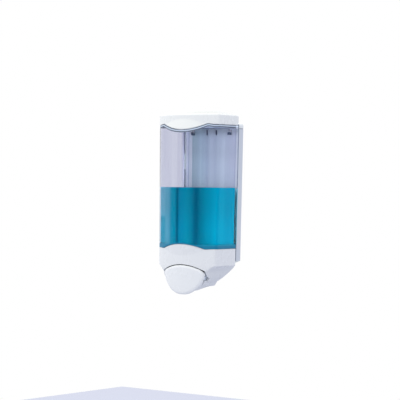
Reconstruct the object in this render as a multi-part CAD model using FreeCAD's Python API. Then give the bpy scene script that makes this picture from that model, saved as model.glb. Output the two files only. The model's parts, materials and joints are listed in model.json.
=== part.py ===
"""Wall mounted push-button liquid soap dispenser, one solid group per physical piece.

Frame: +X to the right as a user faces the dispenser, +Y into the wall, +Z up.
The back of the wall plate lies in the plane Y = 0, and the origin is the centre
of its four screw holes. Heights below are measured from the lowest point of the
push button, and export() moves every piece down by MOUNT_HEIGHT.
"""
import FreeCAD, Part
import math
import os

V = FreeCAD.Vector
RIGHT = V(1, 0, 0)
UP = V(0, 0, 1)

# ---- overall size -------------------------------------------------------
MOUNT_HEIGHT = 159.0        # screw pattern centre above the button's lowest point
BAND_TOP = 276.0            # upper edge of the lid's side band
DOME_RISE = 9.0             # the lid's soft dome above its band
FRONT = -83.0               # the foremost line of the tank
REAR = -12.5                # rear face of tank, lid and base
FRONT_HALF = 59.3           # half width at the front corners, at BAND_TOP
REAR_HALF = 56.3            # half width at the rear corners, at BAND_TOP
TAPER = 0.0155              # half width lost per millimetre going down
CORNER = 6.0                # radius of the two front corners
WALL = 2.6                  # wall of the white mouldings
TANK_WALL = 3.0
FAR = 400.0                 # longer than the object: reach of cutting solids

# ---- front curves ---------------------------------------------------------
TANK_NOSE = 102.7           # plan radius of the tank's front, and of both lens facets
BAND_NOSE = 120.0           # plan radius of the lid's and the base's front
BAND_SETBACK = 2.0          # how far the two bands lie behind the tank's front line
FACET_HEIGHT = 16.0         # lens facet, from its wave edge to its crease

# ---- wave edges -----------------------------------------------------------
WAVE_HALF = 40.0            # half width of the bulge
WAVE_SHOULDER = 50.0        # beyond this the edge is level
WAVE_ROUND = 9.0            # rounding where bulge and shoulder meet
LID_PEAK, LID_BULGE, LID_SIDE = 261.0, 254.0, 259.3
BASE_VALLEY, BASE_CREST, BASE_SIDE = 70.0, 77.0, 71.5
WAVE_DEPTH = -45.0          # behind this line the edges are level all across
LID_GAP = 0.5               # open joint between the lid and the rim seal
SEAL_HEIGHT = 3.4

# ---- tank -------------------------------------------------------------------
FLOOR_TOP = 76.0
FLOOR_THICK = 3.0
SPIGOT_BOTTOM = 66.8        # the tank's skirt stands in the base to here
SPIGOT_INSET = 2.9          # from the base's outer face
FOOT_TOP = 78.4             # below this the tank's cavity narrows to clear the base's rim
FOOT_INSET = 6.0
SOAP_LEVEL = 163.0
SOAP_GAP = 0.15
PORT_Y = FRONT + 41.0       # axis of the outlet neck and of the inlet valve
NECK_R, NECK_BORE = 12.5, 8.0
NECK_BOTTOM = 63.5
HOOK_X, HOOK_W = 35.5, 3.0  # the two upper hooks
HOOK_STEM, HOOK_LIP = 4.5, 3.5
HOOK_BOTTOM = 245.6
SCREW_SPOTS = ((-38.0, -62.0), (38.0, -62.0), (-38.0, -24.0), (38.0, -24.0))
SCREW_R, SCREW_HEAD_R, SCREW_LEN = 1.4, 3.0, 8.0
BOSS_R = 4.0

# ---- lid hinge --------------------------------------------------------------
HINGE_Y, HINGE_H = REAR, 270.0
KNUCKLE_R, PIN_R, PIN_PLAY = 3.3, 1.5, 0.05
EAR_X, EAR_W, LUG_GAP, LUG_W = 27.0, 4.0, 0.4, 4.0

# ---- wall plate -------------------------------------------------------------
PLATE_FRONT = -11.0
PLATE_TOP = 264.0
PLATE_HALF = 55.6           # at PLATE_TOP
PLATE_CORNER_H, PLATE_CHIN_H = 51.0, 40.0
SHEET_FRONT, SHEET_BACK = -7.0, -4.5
FLANGE = 3.0
HEAD_BLOCK_BOTTOM = 258.0    # the plate is full thickness above this
GROOVE_H = 255.0            # thin line cut round the plate's edge
HEAD_GROOVE = 0.7
HOLE_DX, HOLE_DZ, HOLE_R = 20.0, 100.5, 2.5
PAD_R = 7.0
RIB_HALF = 4.0
WINDOW_W, WINDOW_H = 4.0, 9.0
RELIEF_X, RELIEF_W, RELIEF_H = 9.0, 3.0, 8.0
RELIEF_WALL, RELIEF_FLOOR = 2.0, 1.2    # the two middle slots are blind pockets
LOW_HOOK_X, LOW_HOOK_BOTTOM = 30.0, 53.6

# ---- base housing -------------------------------------------------------------
BAND_BOTTOM = 44.5
DECK_BOTTOM, DECK_TOP = 64.0, 66.5
# height, front half width, rear half width, nose Y, rear Y of each bowl section
BOWL = (
    (44.5, 55.7, 52.7, FRONT + 2.0, REAR),
    (40.0, 48.8, 50.4, FRONT + 2.2, REAR - 2.0),
    (36.0, 44.5, 47.6, FRONT + 2.8, REAR - 4.8),
    (28.0, 41.3, 42.6, FRONT + 7.5, REAR - 12.8),
    (19.0, 36.0, 34.5, FRONT + 16.0, REAR - 22.0),
)
ARCH_DEPTH = FRONT + 22.0   # rear end of the opening for the push button
ARCH_HALF = 40.2            # the opening's straight sides
CHIN_FRONT, CHIN_REAR = FRONT + 15.0, FRONT + 49.5
CHIN_TOP = 22.0
CHIN_SLOPE = 10.0           # degrees: the chin's underside rises towards the wall
CHIN_START = 6.0            # height of that underside 9.5 mm behind the front line

# ---- push button ----------------------------------------------------------------
BUTTON_R = 40.0             # lower outline, a circle that touches height 0
ARCH_R, ARCH_TOP = 85.0, 44.5
ARCH_GAP = 1.5
BUTTON_HALF = 38.8
BUTTON_LEAN = 3.9           # degrees: the face leans back towards its foot
BUTTON_REAR = FRONT + 14.4  # rear edge of the rim at the pivot's height
PIVOT_Y, PIVOT_H = FRONT + 9.5, 12.5
PRESS_ANGLE = 14.0
ARM_X, ARM_W, ARM_R, LUG_X, LUG_THICK = 13.0, 4.0, 2.6, 17.4, 3.0
PAD_TIP_R = 4.0

# ---- pump -------------------------------------------------------------------------
PUMP_H = 36.0
BORE_R, BARREL_R = 8.0, 10.0
BARREL_FRONT, BARREL_REAR = FRONT + 22.0, FRONT + 50.0
ROD_R, ROD_PLAY = 4.0, 0.06
ROD_TIP = FRONT + 14.3
HEAD_FRONT, HEAD_LENGTH = FRONT + 26.5, 5.0
SEAL_PLAY = 0.05
INLET_R, INLET_BORE = 8.5, 6.0
FLANGE_TOP, FLANGE_BOTTOM = 62.0, 59.5
LEDGE_TOP = 47.5
BALL_R = 5.0
SLOT_HALF, SLOT_REACH = 3.0, 4.6    # flow slot under the ball: half width, half length
SEAT_BOTTOM, SEAT_HOLE = 58.0, 3.5
NOZZLE_R, NOZZLE_BORE, NOZZLE_TIP, NOZZLE_TOP = 4.2, 2.6, 11.0, 23.5
SOCKET_R, SOCKET_BOTTOM = 5.6, 19.5
SPRING_R, WIRE_R, SPRING_TURNS, SPRING_STEPS = 5.8, 0.5, 6, 20


# ---- helpers ------------------------------------------------------------------------
def box(x0, x1, y0, y1, z0, z1):
    return Part.makeBox(x1 - x0, y1 - y0, z1 - z0, V(x0, y0, z0))


def rod(radius, start, end):
    """Round bar between two points."""
    line = end.sub(start)
    return Part.makeCylinder(radius, line.Length, start, line)


def tube(outer, inner, start, end):
    return rod(outer, start, end).cut(rod(inner, start, end))


def post(radius, x, y, bottom, top):
    return rod(radius, V(x, y, bottom), V(x, y, top))


def prism(points, direction):
    """Straight-sided prism from a closed outline."""
    wire = Part.makePolygon(list(points) + [points[0]])
    return Part.Face(wire).extrude(direction)


def side_plate(x0, x1, outline):
    """Plate between two X planes from a (Y, height) outline."""
    return prism([V(x0, y, h) for y, h in outline], V(x1 - x0, 0, 0))


def mirrored(shape):
    return shape.mirror(V(0, 0, 0), RIGHT)


def both_sides(shape):
    return shape.fuse(mirrored(shape))


def plan_wire(height, front_half, rear_half, nose_y, rear_y, nose_radius):
    """Bowed front, straight sides and a straight rear, at one height."""
    corner_y = nose_y + nose_radius - math.sqrt(nose_radius ** 2 - front_half ** 2)
    left = V(-front_half, corner_y, height)
    right = V(front_half, corner_y, height)
    rear_right = V(rear_half, rear_y, height)
    rear_left = V(-rear_half, rear_y, height)
    nose = Part.Arc(left, V(0, nose_y, height), right).toShape()
    sides = [Part.makeLine(right, rear_right), Part.makeLine(rear_right, rear_left),
             Part.makeLine(rear_left, left)]
    return Part.Wire([nose] + sides)


def body_wire(height, inset, nose_y, nose_radius):
    lost = TAPER * (BAND_TOP - height) + inset
    return plan_wire(height, FRONT_HALF - lost, REAR_HALF - lost, nose_y + inset,
                     REAR - inset, nose_radius - inset)


def front_edges(solid):
    """The two upright edges where the bowed front meets the sides."""
    found = []
    for edge in solid.Edges:
        a, b = edge.Vertexes[0].Point, edge.Vertexes[-1].Point
        upright = abs(a.z - b.z) > 0.8 * a.distanceToPoint(b)
        if upright and a.distanceToPoint(b) > 1 and a.y < REAR - 30 and b.y < REAR - 20:
            found.append(edge)
    return found


def body_block(bottom, top, inset, nose_y=FRONT, nose_radius=TANK_NOSE):
    """Tapered block with the dispenser's plan shape."""
    wires = [body_wire(h, inset, nose_y, nose_radius) for h in (bottom, top)]
    solid = Part.makeLoft(wires, True, True)
    return solid.makeFillet(max(CORNER - inset, 1.5), front_edges(solid))


def band_block(bottom, top, inset):
    return body_block(bottom, top, inset, FRONT + BAND_SETBACK, BAND_NOSE)


def below_wave(shoulder, middle, side):
    """Everything below a wave edge: waved in front, level behind WAVE_DEPTH."""
    left, right = V(-WAVE_HALF, 0, shoulder), V(WAVE_HALF, 0, shoulder)
    bulge = Part.Arc(left, V(0, 0, middle), right).toShape()
    outline = [right, V(WAVE_SHOULDER, 0, side), V(FAR, 0, side), V(FAR, 0, -FAR),
               V(-FAR, 0, -FAR), V(-FAR, 0, side), V(-WAVE_SHOULDER, 0, side), left]
    lines = [Part.makeLine(a, b) for a, b in zip(outline, outline[1:])]
    face = Part.Face(Part.Wire([bulge] + lines))
    waved = face.extrude(V(0, -FAR, 0))
    corners = [e for e in waved.Edges
               if abs(abs(e.Vertexes[0].X) - WAVE_HALF) < 1e-3
               and abs(abs(e.Vertexes[-1].X) - WAVE_HALF) < 1e-3
               and abs(e.Length - FAR) < 1e-3]
    waved = waved.makeFillet(WAVE_ROUND, corners)
    waved.translate(V(0, WAVE_DEPTH, 0))
    return waved.fuse(box(-FAR, FAR, WAVE_DEPTH, FAR, -FAR, side))


def below_lid_edge(drop):
    return below_wave(LID_PEAK - drop, LID_BULGE - drop, LID_SIDE - drop)


def below_base_edge():
    return below_wave(BASE_VALLEY, BASE_CREST, BASE_SIDE)


def facet(edge_height, crease_height):
    """Lens facet: a leaning cylinder, level with the tank's front at the wave edge."""
    drum = Part.makeCylinder(TANK_NOSE, 4 * FACET_HEIGHT, V(0, TANK_NOSE, -2 * FACET_HEIGHT), UP)
    lean = math.degrees(math.atan(BAND_SETBACK / (edge_height - crease_height)))
    drum.rotate(V(0, 0, 0), RIGHT, lean)
    drum.translate(V(0, FRONT, edge_height))
    low, high = sorted((edge_height, crease_height))
    limits = box(-WAVE_HALF - 4, WAVE_HALF + 4, FRONT - 5, FRONT + 14, low - 3, high + 1)
    return drum.common(limits)


def disc_prism(radius, centre_height, y0, y1):
    """Round bar along Y, centred on the middle plane."""
    return rod(radius, V(0, y0, centre_height), V(0, y1, centre_height))


def above_chin_plane(lift, y0, y1):
    """Block above the chin's sloping underside, raised by lift."""
    rise = math.tan(math.radians(CHIN_SLOPE))
    start = FRONT + 9.5
    outline = [(y, CHIN_START + lift + rise * (y - start)) for y in (y0, y1)]
    return side_plate(-FAR, FAR, outline + [(y1, FAR), (y0, FAR)])


def hook(x, bottom, width, rear_y):
    """Hook that reaches through a window of the wall plate and drops behind it."""
    stem = box(x - width / 2, x + width / 2, rear_y, SHEET_BACK + 2.3, bottom, bottom + HOOK_STEM)
    lip = box(x - width / 2, x + width / 2, SHEET_BACK + 0.3, SHEET_BACK + 2.3,
              bottom - HOOK_LIP, bottom + HOOK_STEM)
    return stem.fuse(lip)


# ---- wall side ------------------------------------------------------------------------
def plate_outline(inset):
    """Front view of the plate: tapered sides and a bowed lower edge."""
    top_half = PLATE_HALF - inset
    low_half = PLATE_HALF - TAPER * (PLATE_TOP - PLATE_CORNER_H) - inset
    top_left, top_right = V(-top_half, 0, PLATE_TOP - inset), V(top_half, 0, PLATE_TOP - inset)
    low_left = V(-low_half, 0, PLATE_CORNER_H + inset)
    low_right = V(low_half, 0, PLATE_CORNER_H + inset)
    chin = Part.Arc(low_right, V(0, 0, PLATE_CHIN_H + inset), low_left).toShape()
    return Part.Wire([Part.makeLine(top_left, top_right), Part.makeLine(top_right, low_right),
                      chin, Part.makeLine(low_left, top_left)])


def plate_block(inset, y0, y1):
    solid = Part.Face(plate_outline(inset)).extrude(V(0, y1 - y0, 0))
    solid.translate(V(0, y0, 0))
    return solid


def relief_slot(margin, y0, y1):
    return box(RELIEF_X - RELIEF_W / 2 - margin, RELIEF_X + RELIEF_W / 2 + margin, y0, y1,
               HOOK_BOTTOM - margin, HOOK_BOTTOM + RELIEF_H + margin)


def wall_plate():
    plate = plate_block(0, PLATE_FRONT, 0)
    tops = [e for e in plate.Edges if abs(e.Length + PLATE_FRONT) < 1e-3
            and e.Vertexes[0].Z > PLATE_TOP - 1]
    plate = plate.makeFillet(5.0, tops)
    tray = plate_block(FLANGE, PLATE_FRONT - 1, SHEET_FRONT)
    plate = plate.cut(tray.cut(box(-FAR, FAR, -FAR, 0, HEAD_BLOCK_BOTTOM, FAR)))
    hollow = plate_block(FLANGE, SHEET_BACK, 1)
    hollow = hollow.cut(box(-RIB_HALF, RIB_HALF, SHEET_BACK, 1, 0, FAR))
    hollow = hollow.cut(box(-FAR, FAR, SHEET_BACK, 1, MOUNT_HEIGHT - RIB_HALF,
                            MOUNT_HEIGHT + RIB_HALF))
    spots = [(x, MOUNT_HEIGHT + z) for x in (-HOLE_DX, HOLE_DX) for z in (-HOLE_DZ, HOLE_DZ)]
    for x, h in spots:
        hollow = hollow.cut(rod(PAD_R, V(x, SHEET_BACK, h), V(x, 1, h)))
    hollow = hollow.cut(both_sides(relief_slot(RELIEF_WALL, SHEET_BACK, 1)))
    plate = plate.cut(hollow)
    for x, h in spots:
        plate = plate.cut(rod(HOLE_R, V(x, PLATE_FRONT - 1, h), V(x, 1, h)))
    groove = plate_block(-1, PLATE_FRONT - 1, 1).cut(plate_block(HEAD_GROOVE, -FAR, FAR))
    plate = plate.cut(groove.common(
        box(-FAR, FAR, -FAR, 1, GROOVE_H - 0.5, GROOVE_H + 0.5)))
    for x, bottom in ((HOOK_X, HOOK_BOTTOM), (LOW_HOOK_X, LOW_HOOK_BOTTOM)):
        window = box(x - WINDOW_W / 2, x + WINDOW_W / 2, PLATE_FRONT - 1, 1,
                     bottom - 0.1, bottom - 0.1 + WINDOW_H)
        plate = plate.cut(both_sides(window))
    return plate.cut(both_sides(relief_slot(0, SHEET_FRONT - 1, -RELIEF_FLOOR)))


# ---- tank unit ----------------------------------------------------------------------------
def tank_cavity(gap, top):
    """Inside of the tank up to a height, held off its walls by gap."""
    foot = band_block(FLOOR_TOP + gap, FOOT_TOP + 2, FOOT_INSET + gap)
    return foot.fuse(body_block(FOOT_TOP + gap, top, TANK_WALL + gap))


def tank():
    lid_edge = below_lid_edge(LID_GAP + SEAL_HEIGHT)
    shell = body_block(SPIGOT_BOTTOM, 264, 0).common(lid_edge).cut(below_base_edge())
    shell = shell.fuse(band_block(SPIGOT_BOTTOM, FOOT_TOP + 1, SPIGOT_INSET))
    shell = shell.cut(tank_cavity(0, 270))
    skirt_room = band_block(SPIGOT_BOTTOM - 1, FLOOR_TOP - FLOOR_THICK, SPIGOT_INSET + TANK_WALL)
    shell = shell.cut(skirt_room)
    shell = shell.fuse(post(NECK_R, 0, PORT_Y, NECK_BOTTOM, FLOOR_TOP - 1))
    for x, y in SCREW_SPOTS:
        boss = post(BOSS_R, x, y, DECK_TOP, FLOOR_TOP - 1)
        shell = shell.fuse(boss.cut(post(SCREW_R, x, y, DECK_TOP, DECK_BOTTOM + SCREW_LEN)))
    shell = shell.cut(post(NECK_BORE, 0, PORT_Y, NECK_BOTTOM - 1, FLOOR_TOP + 1))
    hooks = both_sides(hook(HOOK_X, HOOK_BOTTOM, HOOK_W, REAR - 1))
    return shell.fuse(hooks)


def rim_seal():
    ring = body_block(240, 266, 0).cut(body_block(239, 267, TANK_WALL))
    return ring.common(below_lid_edge(LID_GAP)).cut(below_lid_edge(LID_GAP + SEAL_HEIGHT))


def soap_fill():
    return tank_cavity(SOAP_GAP, SOAP_LEVEL)


def lid_hinge_rail():
    wall_y = REAR - TANK_WALL - 0.02
    bar = box(-EAR_X - EAR_W - 2, EAR_X + EAR_W + 2, wall_y - 3, wall_y, 248, 255.5)
    ear = side_plate(EAR_X, EAR_X + EAR_W, [
        (wall_y - 3, 248), (wall_y, 248), (wall_y, LID_SIDE + 0.4), (HINGE_Y + 1, 265),
        (HINGE_Y + KNUCKLE_R, HINGE_H), (HINGE_Y - KNUCKLE_R, HINGE_H), (wall_y - 3, 262)])
    ear = ear.fuse(rod(KNUCKLE_R, V(EAR_X, HINGE_Y, HINGE_H), V(EAR_X + EAR_W, HINGE_Y, HINGE_H)))
    ear = ear.cut(hinge_pin())
    return bar.fuse(both_sides(ear))


def hinge_pin():
    end = EAR_X + EAR_W + LUG_GAP + LUG_W
    return rod(PIN_R, V(EAR_X + 0.2, HINGE_Y, HINGE_H), V(end - 0.3, HINGE_Y, HINGE_H))


def lid_hinge_pins():
    pin = hinge_pin()
    return Part.makeCompound([pin, mirrored(pin)])


def base_shell(inset, floor_rise, top):
    """Vertical band up to a height, plus the bowl below it."""
    sections = []
    for height, front_half, rear_half, nose_y, rear_y in BOWL:
        sections.append(plan_wire(height + floor_rise, front_half - inset, rear_half - inset,
                                  nose_y + inset, rear_y - inset, BAND_NOSE - inset))
    bowl = Part.makeLoft(sections, True, False)
    corners = [e for e in bowl.Edges if e.Length > 20 and e.BoundBox.ZLength > 20
               and e.BoundBox.YMax < REAR - 30]
    bowl = bowl.makeFillet(CORNER - inset, corners)
    return bowl.fuse(band_block(BAND_BOTTOM + floor_rise, top, inset))


def chin():
    """Trough behind the button that carries on its round outline."""
    outer = disc_prism(BUTTON_R - 0.2, BUTTON_R, CHIN_FRONT, CHIN_REAR)
    outer = outer.common(above_chin_plane(0, CHIN_FRONT, CHIN_REAR))
    return outer.cut(box(-FAR, FAR, -FAR, FAR, CHIN_TOP, FAR))


def chin_room():
    room = disc_prism(BUTTON_R - 0.2 - WALL, BUTTON_R, CHIN_FRONT - 1, CHIN_REAR - WALL)
    room = room.common(above_chin_plane(WALL, CHIN_FRONT - 1, CHIN_REAR - WALL))
    return room.cut(box(-FAR, FAR, -FAR, FAR, CHIN_TOP + 6, FAR))


def pivot_arms():
    arm = side_plate(ARM_X, ARM_X + ARM_W, [
        (PIVOT_Y, PIVOT_H - ARM_R), (CHIN_FRONT + 12, PIVOT_H - ARM_R),
        (CHIN_FRONT + 12, PIVOT_H + 1), (PIVOT_Y, PIVOT_H + ARM_R)])
    eye = rod(ARM_R, V(ARM_X, PIVOT_Y, PIVOT_H), V(ARM_X + ARM_W, PIVOT_Y, PIVOT_H))
    arm = arm.fuse(eye)
    return both_sides(arm).cut(button_pivot_pin())


def base_housing():
    shell = base_shell(0, 0, BASE_CREST + 3).fuse(facet(BASE_CREST, BASE_CREST - FACET_HEIGHT - 1))
    shell = shell.common(below_base_edge())
    shell = shell.cut(base_shell(WALL, WALL, DECK_BOTTOM))
    shell = shell.cut(band_block(DECK_TOP, BASE_CREST + 5, WALL))
    shell = shell.cut(post(17, 0, PORT_Y, DECK_BOTTOM - 1, DECK_TOP + 1))
    for x, y in SCREW_SPOTS:
        shell = shell.cut(post(SCREW_R + 0.3, x, y, DECK_BOTTOM - 1, DECK_TOP + 1))
    opening = disc_prism(ARCH_R + ARCH_GAP, ARCH_TOP - ARCH_R, -FAR, ARCH_DEPTH)
    opening = opening.common(box(-ARCH_HALF, ARCH_HALF, -FAR, ARCH_DEPTH, -FAR, FAR))
    shell = shell.cut(opening).fuse(chin()).cut(chin_room())
    shell = shell.cut(post(NOZZLE_R + 1.5, 0, PORT_Y, 0, CHIN_TOP + 2))
    hooks = both_sides(hook(LOW_HOOK_X, LOW_HOOK_BOTTOM, HOOK_W, REAR - 1))
    return shell.fuse(pivot_arms()).fuse(hooks)


def housing_screws():
    screws = []
    for x, y in SCREW_SPOTS:
        shank = post(SCREW_R, x, y, DECK_BOTTOM - 0.1, DECK_BOTTOM + SCREW_LEN)
        head = post(SCREW_HEAD_R, x, y, DECK_BOTTOM - 2, DECK_BOTTOM)
        cross = box(x - 1.8, x + 1.8, y - 0.4, y + 0.4, DECK_BOTTOM - 3, DECK_BOTTOM - 1)
        cross = cross.fuse(box(x - 0.4, x + 0.4, y - 1.8, y + 1.8, DECK_BOTTOM - 3,
                               DECK_BOTTOM - 1))
        screws.append(shank.fuse(head).cut(cross).removeSplitter())
    return Part.makeCompound(screws)


# ---- lid ----------------------------------------------------------------------------------
def dome():
    """Pillow above the band, from ever smaller copies of the plan shape."""
    wires = []
    for inset in (5.0, 10.0, 16.0, 23.0, 31.0):
        rise = DOME_RISE * (1 - ((35.0 - inset) / 30.0) ** 2)
        lost = TAPER + inset
        height = BAND_TOP - 0.5 + (DOME_RISE + 0.5) * rise / DOME_RISE
        wires.append(plan_wire(height, FRONT_HALF - lost, REAR_HALF - lost,
                               FRONT + BAND_SETBACK + inset, REAR - inset, BAND_NOSE - inset))
    return Part.makeLoft(wires, True, False)


def lid():
    band = band_block(248, BAND_TOP, 0)
    rim = [e for e in band.Edges if all(abs(v.Z - BAND_TOP) < 1e-3 for v in e.Vertexes)]
    band = band.makeFillet(2.5, rim)
    outer = band.fuse(facet(LID_BULGE, LID_BULGE + FACET_HEIGHT)).fuse(dome())
    outer = outer.cut(below_lid_edge(0))
    shell = outer.cut(band_block(240, BAND_TOP - WALL, WALL))
    notch = box(EAR_X - LUG_GAP, EAR_X + EAR_W + LUG_GAP, REAR - WALL - 0.2, REAR + 1,
                240, HINGE_H + KNUCKLE_R + 0.4)
    shell = shell.cut(both_sides(notch))
    lug_x = EAR_X + EAR_W + LUG_GAP
    lug = rod(KNUCKLE_R, V(lug_x, HINGE_Y, HINGE_H), V(lug_x + LUG_W, HINGE_Y, HINGE_H))
    bore = rod(PIN_R + PIN_PLAY, V(EAR_X, HINGE_Y, HINGE_H), V(lug_x + LUG_W + 0.1, HINGE_Y, HINGE_H))
    return shell.fuse(both_sides(lug)).cut(both_sides(bore))


# ---- push button -----------------------------------------------------------------------------
def button_blank(inset):
    """Shield outline: a round foot under an arched top, with cut corners."""
    foot = disc_prism(BUTTON_R - inset, BUTTON_R, -FAR, 0)
    arch = disc_prism(ARCH_R - inset, ARCH_TOP - ARCH_R, -FAR, 0)
    half = BUTTON_HALF - inset
    return foot.common(arch).common(box(-half, half, -FAR, 0, 0, FAR))


def face_drum(setback):
    """Solid behind the button's bowed face."""
    drum = Part.makeCylinder(TANK_NOSE, FAR, V(0, TANK_NOSE, -FAR / 2), UP)
    drum.rotate(V(0, 0, 0), RIGHT, BUTTON_LEAN)
    drum.translate(V(0, FRONT + 0.3 + setback, ARCH_TOP))
    return drum


def rim_limit(lift):
    """Block in front of the leaning rear edge of the button's rim."""
    block = box(-FAR, FAR, -FAR, 0, -FAR, FAR)
    block.rotate(V(0, 0, 0), RIGHT, PRESS_ANGLE + 1)
    block.translate(V(0, BUTTON_REAR + lift, PIVOT_H))
    return block.common(box(-FAR, FAR, -FAR, BUTTON_REAR + lift, -FAR, FAR))


def button():
    solid = button_blank(0).common(face_drum(0)).common(rim_limit(0))
    solid = solid.common(above_chin_plane(0.2, -FAR, 0).fuse(
        box(-FAR, FAR, -FAR, FRONT + 8.0, -FAR, FAR)))
    room = button_blank(WALL).common(face_drum(WALL)).common(rim_limit(9))
    room = room.common(above_chin_plane(WALL + 0.2, -FAR, 0))
    shell = solid.cut(room)
    lug = side_plate(LUG_X, LUG_X + LUG_THICK, [
        (FRONT + 4.5, PIVOT_H - 3.2), (PIVOT_Y, PIVOT_H - 3.2), (PIVOT_Y + 3, PIVOT_H),
        (PIVOT_Y + 1.5, PIVOT_H + 3.2), (FRONT + 3, PIVOT_H + 12)])
    lug = lug.common(face_drum(1))
    post_front = FRONT + 2
    actuator = box(-7, 7, post_front, PIVOT_Y + 0.4, PUMP_H - 1.5, PUMP_H + 1.5)
    actuator = actuator.common(face_drum(1))
    tip_y = ROD_TIP - 0.4 - PAD_TIP_R
    tip = rod(PAD_TIP_R, V(-7, tip_y, PUMP_H), V(7, tip_y, PUMP_H))
    shell = shell.fuse(both_sides(lug)).fuse(actuator).fuse(tip)
    reach = LUG_X + LUG_THICK + 0.2
    return shell.cut(rod(PIN_R + PIN_PLAY, V(-reach, PIVOT_Y, PIVOT_H), V(reach, PIVOT_Y, PIVOT_H)))


def button_pivot_pin():
    reach = LUG_X + LUG_THICK - 0.2
    return rod(PIN_R, V(-reach, PIVOT_Y, PIVOT_H), V(reach, PIVOT_Y, PIVOT_H))


# ---- pump -------------------------------------------------------------------------------------
def pump_body():
    barrel = disc_prism(BARREL_R, PUMP_H, BARREL_FRONT, BARREL_REAR)
    inlet = post(INLET_R, 0, PORT_Y, PUMP_H, FLANGE_TOP)
    flange = post(NECK_R, 0, PORT_Y, FLANGE_BOTTOM, FLANGE_TOP)
    socket = post(SOCKET_R, 0, PORT_Y, SOCKET_BOTTOM, PUMP_H)
    body = barrel.fuse(inlet).fuse(flange).fuse(socket)
    body = body.cut(disc_prism(BORE_R, PUMP_H, BARREL_FRONT - 1, BARREL_REAR - 3))
    body = body.cut(post(INLET_BORE, 0, PORT_Y, LEDGE_TOP, FLANGE_TOP + 1))
    body = body.cut(box(-SLOT_HALF, SLOT_HALF, PORT_Y - SLOT_REACH, PORT_Y + SLOT_REACH,
                        PUMP_H, LEDGE_TOP + 0.1))
    body = body.cut(post(NOZZLE_R, 0, PORT_Y, SOCKET_BOTTOM - 1, NOZZLE_TOP))
    return body.cut(post(NOZZLE_BORE, 0, PORT_Y, SOCKET_BOTTOM - 1, PUMP_H))


def inlet_seat():
    return tube(INLET_BORE, SEAT_HOLE, V(0, PORT_Y, SEAT_BOTTOM), V(0, PORT_Y, FLANGE_TOP))


def inlet_ball():
    rest = LEDGE_TOP + math.sqrt(BALL_R ** 2 - SLOT_HALF ** 2) + 0.05
    return Part.makeSphere(BALL_R, V(0, PORT_Y, rest))


def inlet_strainer():
    cup = post(NECK_BORE, 0, PORT_Y, 70, FLOOR_TOP).cut(post(NECK_BORE - 1.2, 0, PORT_Y, 69, 74.8))
    for column in range(-1, 2):
        slot = box(column * 4.2 - 0.8, column * 4.2 + 0.8, PORT_Y - 4.5, PORT_Y + 4.5, 74, 77)
        cup = cup.cut(slot)
    return cup


def neck_gasket():
    return tube(NECK_R, INLET_BORE + 0.5, V(0, PORT_Y, FLANGE_TOP), V(0, PORT_Y, NECK_BOTTOM))


def union_nut():
    nut = post(16, 0, PORT_Y, 56.9, 70)
    nut = nut.cut(post(NECK_R + 0.1, 0, PORT_Y, FLANGE_BOTTOM - 0.1, 71))
    nut = nut.cut(post(INLET_R + 0.2, 0, PORT_Y, 56, 71))
    for step in range(12):
        angle = math.radians(30 * step)
        groove = post(1.4, 16.6 * math.cos(angle), PORT_Y + 16.6 * math.sin(angle), 56, 71)
        nut = nut.cut(groove)
    return nut


def rod_guide():
    ring = disc_prism(BORE_R, PUMP_H, BARREL_FRONT, BARREL_FRONT + 3.5)
    lip = disc_prism(BARREL_R, PUMP_H, BARREL_FRONT - 1.5, BARREL_FRONT)
    return ring.fuse(lip).cut(disc_prism(ROD_R + ROD_PLAY, PUMP_H, -FAR, 0))


def seal_ring(outer, inner):
    start = HEAD_FRONT + 1.5
    return disc_prism(outer, PUMP_H, start, start + 2).cut(disc_prism(inner, PUMP_H, start - 1, 0))


def piston():
    stem = disc_prism(ROD_R, PUMP_H, ROD_TIP, HEAD_FRONT + 1)
    head = disc_prism(BORE_R - 0.4, PUMP_H, HEAD_FRONT, HEAD_FRONT + HEAD_LENGTH)
    return stem.fuse(head).cut(seal_ring(BORE_R, BORE_R - 2))


def piston_seal():
    return seal_ring(BORE_R - SEAL_PLAY, BORE_R - 2)


def return_spring():
    length = BARREL_REAR - 3 - HEAD_FRONT - HEAD_LENGTH - 2 * WIRE_R - 0.2
    start = HEAD_FRONT + HEAD_LENGTH + WIRE_R + 0.1
    rings = []
    for step in range(SPRING_TURNS * SPRING_STEPS + 1):
        angle = 2 * math.pi * step / SPRING_STEPS
        out = V(math.cos(angle), 0, math.sin(angle))
        centre = V(0, start + length * step / (SPRING_TURNS * SPRING_STEPS), PUMP_H)
        along = V(-out.z * SPRING_R, length / SPRING_TURNS / (2 * math.pi), out.x * SPRING_R)
        rings.append(Part.Wire([Part.makeCircle(WIRE_R, centre + out * SPRING_R, along)]))
    return Part.makeLoft(rings, True, True)


def outlet_nozzle():
    pipe = tube(NOZZLE_R, NOZZLE_BORE, V(0, PORT_Y, NOZZLE_TIP), V(0, PORT_Y, NOZZLE_TOP))
    return pipe


def outlet_valve():
    disc = post(NOZZLE_BORE, 0, PORT_Y, 21, NOZZLE_TOP)
    bill = Part.makeCone(2.3, 0.8, 4.5, V(0, PORT_Y, 21), V(0, 0, -1))
    slit = box(-2, 2, PORT_Y - 0.1, PORT_Y + 0.1, 15, 18.5)
    return disc.fuse(bill).cut(slit).cut(post(1.2, 0, PORT_Y, 18.5, 24))


PIECES = (wall_plate, tank, rim_seal, soap_fill, lid_hinge_rail, lid_hinge_pins, base_housing,
          housing_screws, lid, button, button_pivot_pin, pump_body, inlet_seat, inlet_ball,
          inlet_strainer, neck_gasket, union_nut, rod_guide, piston, piston_seal, return_spring,
          outlet_nozzle, outlet_valve)


def export(make):
    shape = make()
    shape.translate(V(0, 0, -MOUNT_HEIGHT))
    shape.exportStep("parts/" + make.__name__ + ".step")
    size = shape.BoundBox
    print(make.__name__, len(shape.Solids), shape.isValid(), round(shape.Volume / 1000, 2), "cm3",
          [round(v, 1) for v in (size.XMin, size.XMax, size.YMin, size.YMax, size.ZMin, size.ZMax)])


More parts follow.
